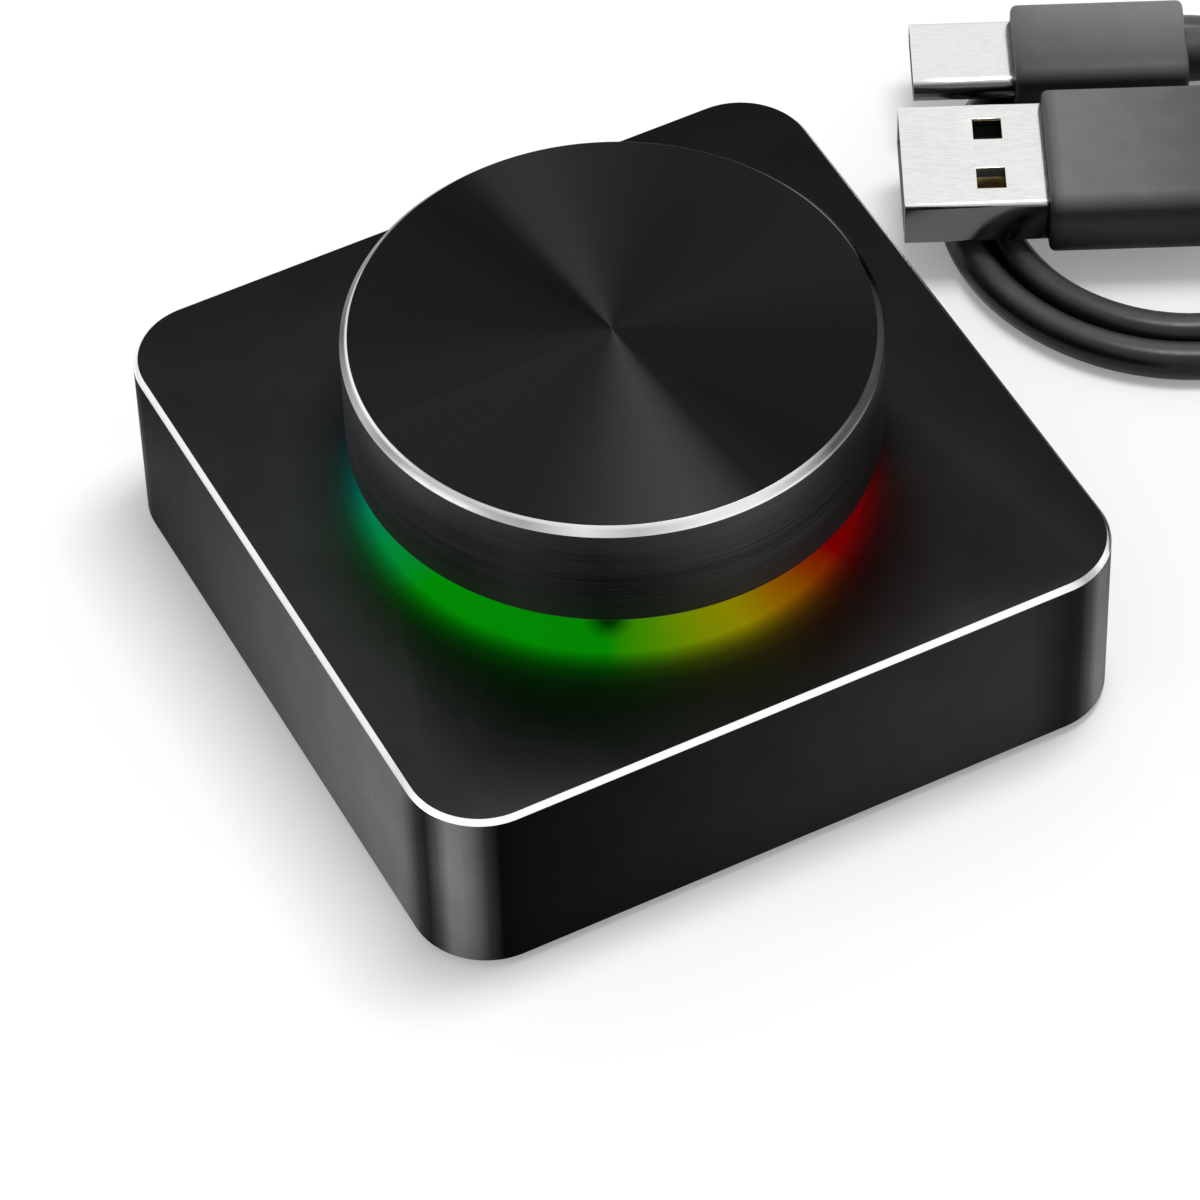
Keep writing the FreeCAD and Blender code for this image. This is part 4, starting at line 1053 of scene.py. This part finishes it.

# painted reflection: the bright cut is painted as mirroring a lit half of the room and a dark one. Its two
# rims are rounder than its middle and are painted to catch the light their own way.
knob_cut_seam = 110
middle_cut_painted_sheen = [(-232, 0.6), (-220, 0.36), (-208, 0.20), (-196, 0.36), (-184, 0.48), (-172, 0.24), (-160, 0.25),
              (-148, 0.37), (-136, 0.34), (-124, 0.72), (-112, 0.48), (-98, 0.78), (-86, 0.80), (-76, 0.48),
              (-64, 0.09), (-45, 0.07), (-20, 0.08), (-12, 0.02), (-6, 0.005), (0, 0.03), (20, 0.03),
              (30, 0.1), (50, 0.35), (90, 0.7)]
inner_rim_painted_sheen = [(-239, 0.3), (-231, 0.4), (-223, 0.8), (-210, 1.0), (-184, 1.0), (-172, 0.74), (-160, 0.4),
                (-148, 0.5), (-136, 0.68), (-124, 0.74), (-112, 0.7), (-98, 0.8), (-76, 0.7), (-64, 0.2),
                (-52, 0.06), (-40, 0.08), (-18, 0.06), (-8, 0.01), (0, 0.28), (10, 0.55), (20, 0.5),
                (30, 0.2), (50, 0.3), (90, 0.5)]
outer_rim_painted_sheen = [(-232, 0.5), (-220, 0.4), (-208, 0.22), (-196, 0.42), (-184, 0.5), (-172, 0.36), (-160, 0.26),
                (-148, 0.34), (-136, 0.38), (-124, 0.72), (-112, 0.5), (-98, 0.9), (-86, 0.95), (-76, 0.9),
                (-64, 0.28), (-52, 0.2), (-40, 0.04), (-15, 0.03), (10, 0.01), (25, 0.04), (50, 0.3),
                (90, 0.7)]
knob_cut = new_finish("diamond_cut_knob_edge", (0.86, 0.86, 0.87), metallic=1.0)
set_to(knob_cut, "Specular Tint", (0.3, 0.3, 0.3, 1))
across_cut = between(knob_cut, from_point(knob_cut), 0, 1, knob_r - knob_edge_in, knob_r)
on_inner_rim = greys(knob_cut, across_cut, [(0.0, 0.6), (0.12, 1.0), (0.24, 0.7), (0.4, 0.0)])
on_outer_rim = greys(knob_cut, across_cut, [(0.75, 0.0), (0.95, 1.0)])
middle_cut, inner_rim, outer_rim = (painted_sheen_round(knob_cut, knob_cut_seam, shades)
                                    for shades in (middle_cut_painted_sheen, inner_rim_painted_sheen, outer_rim_painted_sheen))
painted_cut_light = blend_colours(knob_cut, on_inner_rim, middle_cut, inner_rim)
painted_cut_light = blend_colours(knob_cut, on_outer_rim, painted_cut_light, outer_rim)
set_to(knob_cut, "Base Color", painted_cut_light)
uneven_gloss(knob_cut, 1.6, 0.30, 0.38)
raise_by(knob_cut, cloudy(knob_cut, 0.08, stretch=(1, 1, 8), detail=3.0), 0.0003)
finish_with(cap, "knob", "anodised_knob", ["knob"], turned_side, spun, knob_cut)
give_faces(cap, knob_top, knob_edge_down, under=0.03)
dress(black_plastic, "knob_insert")
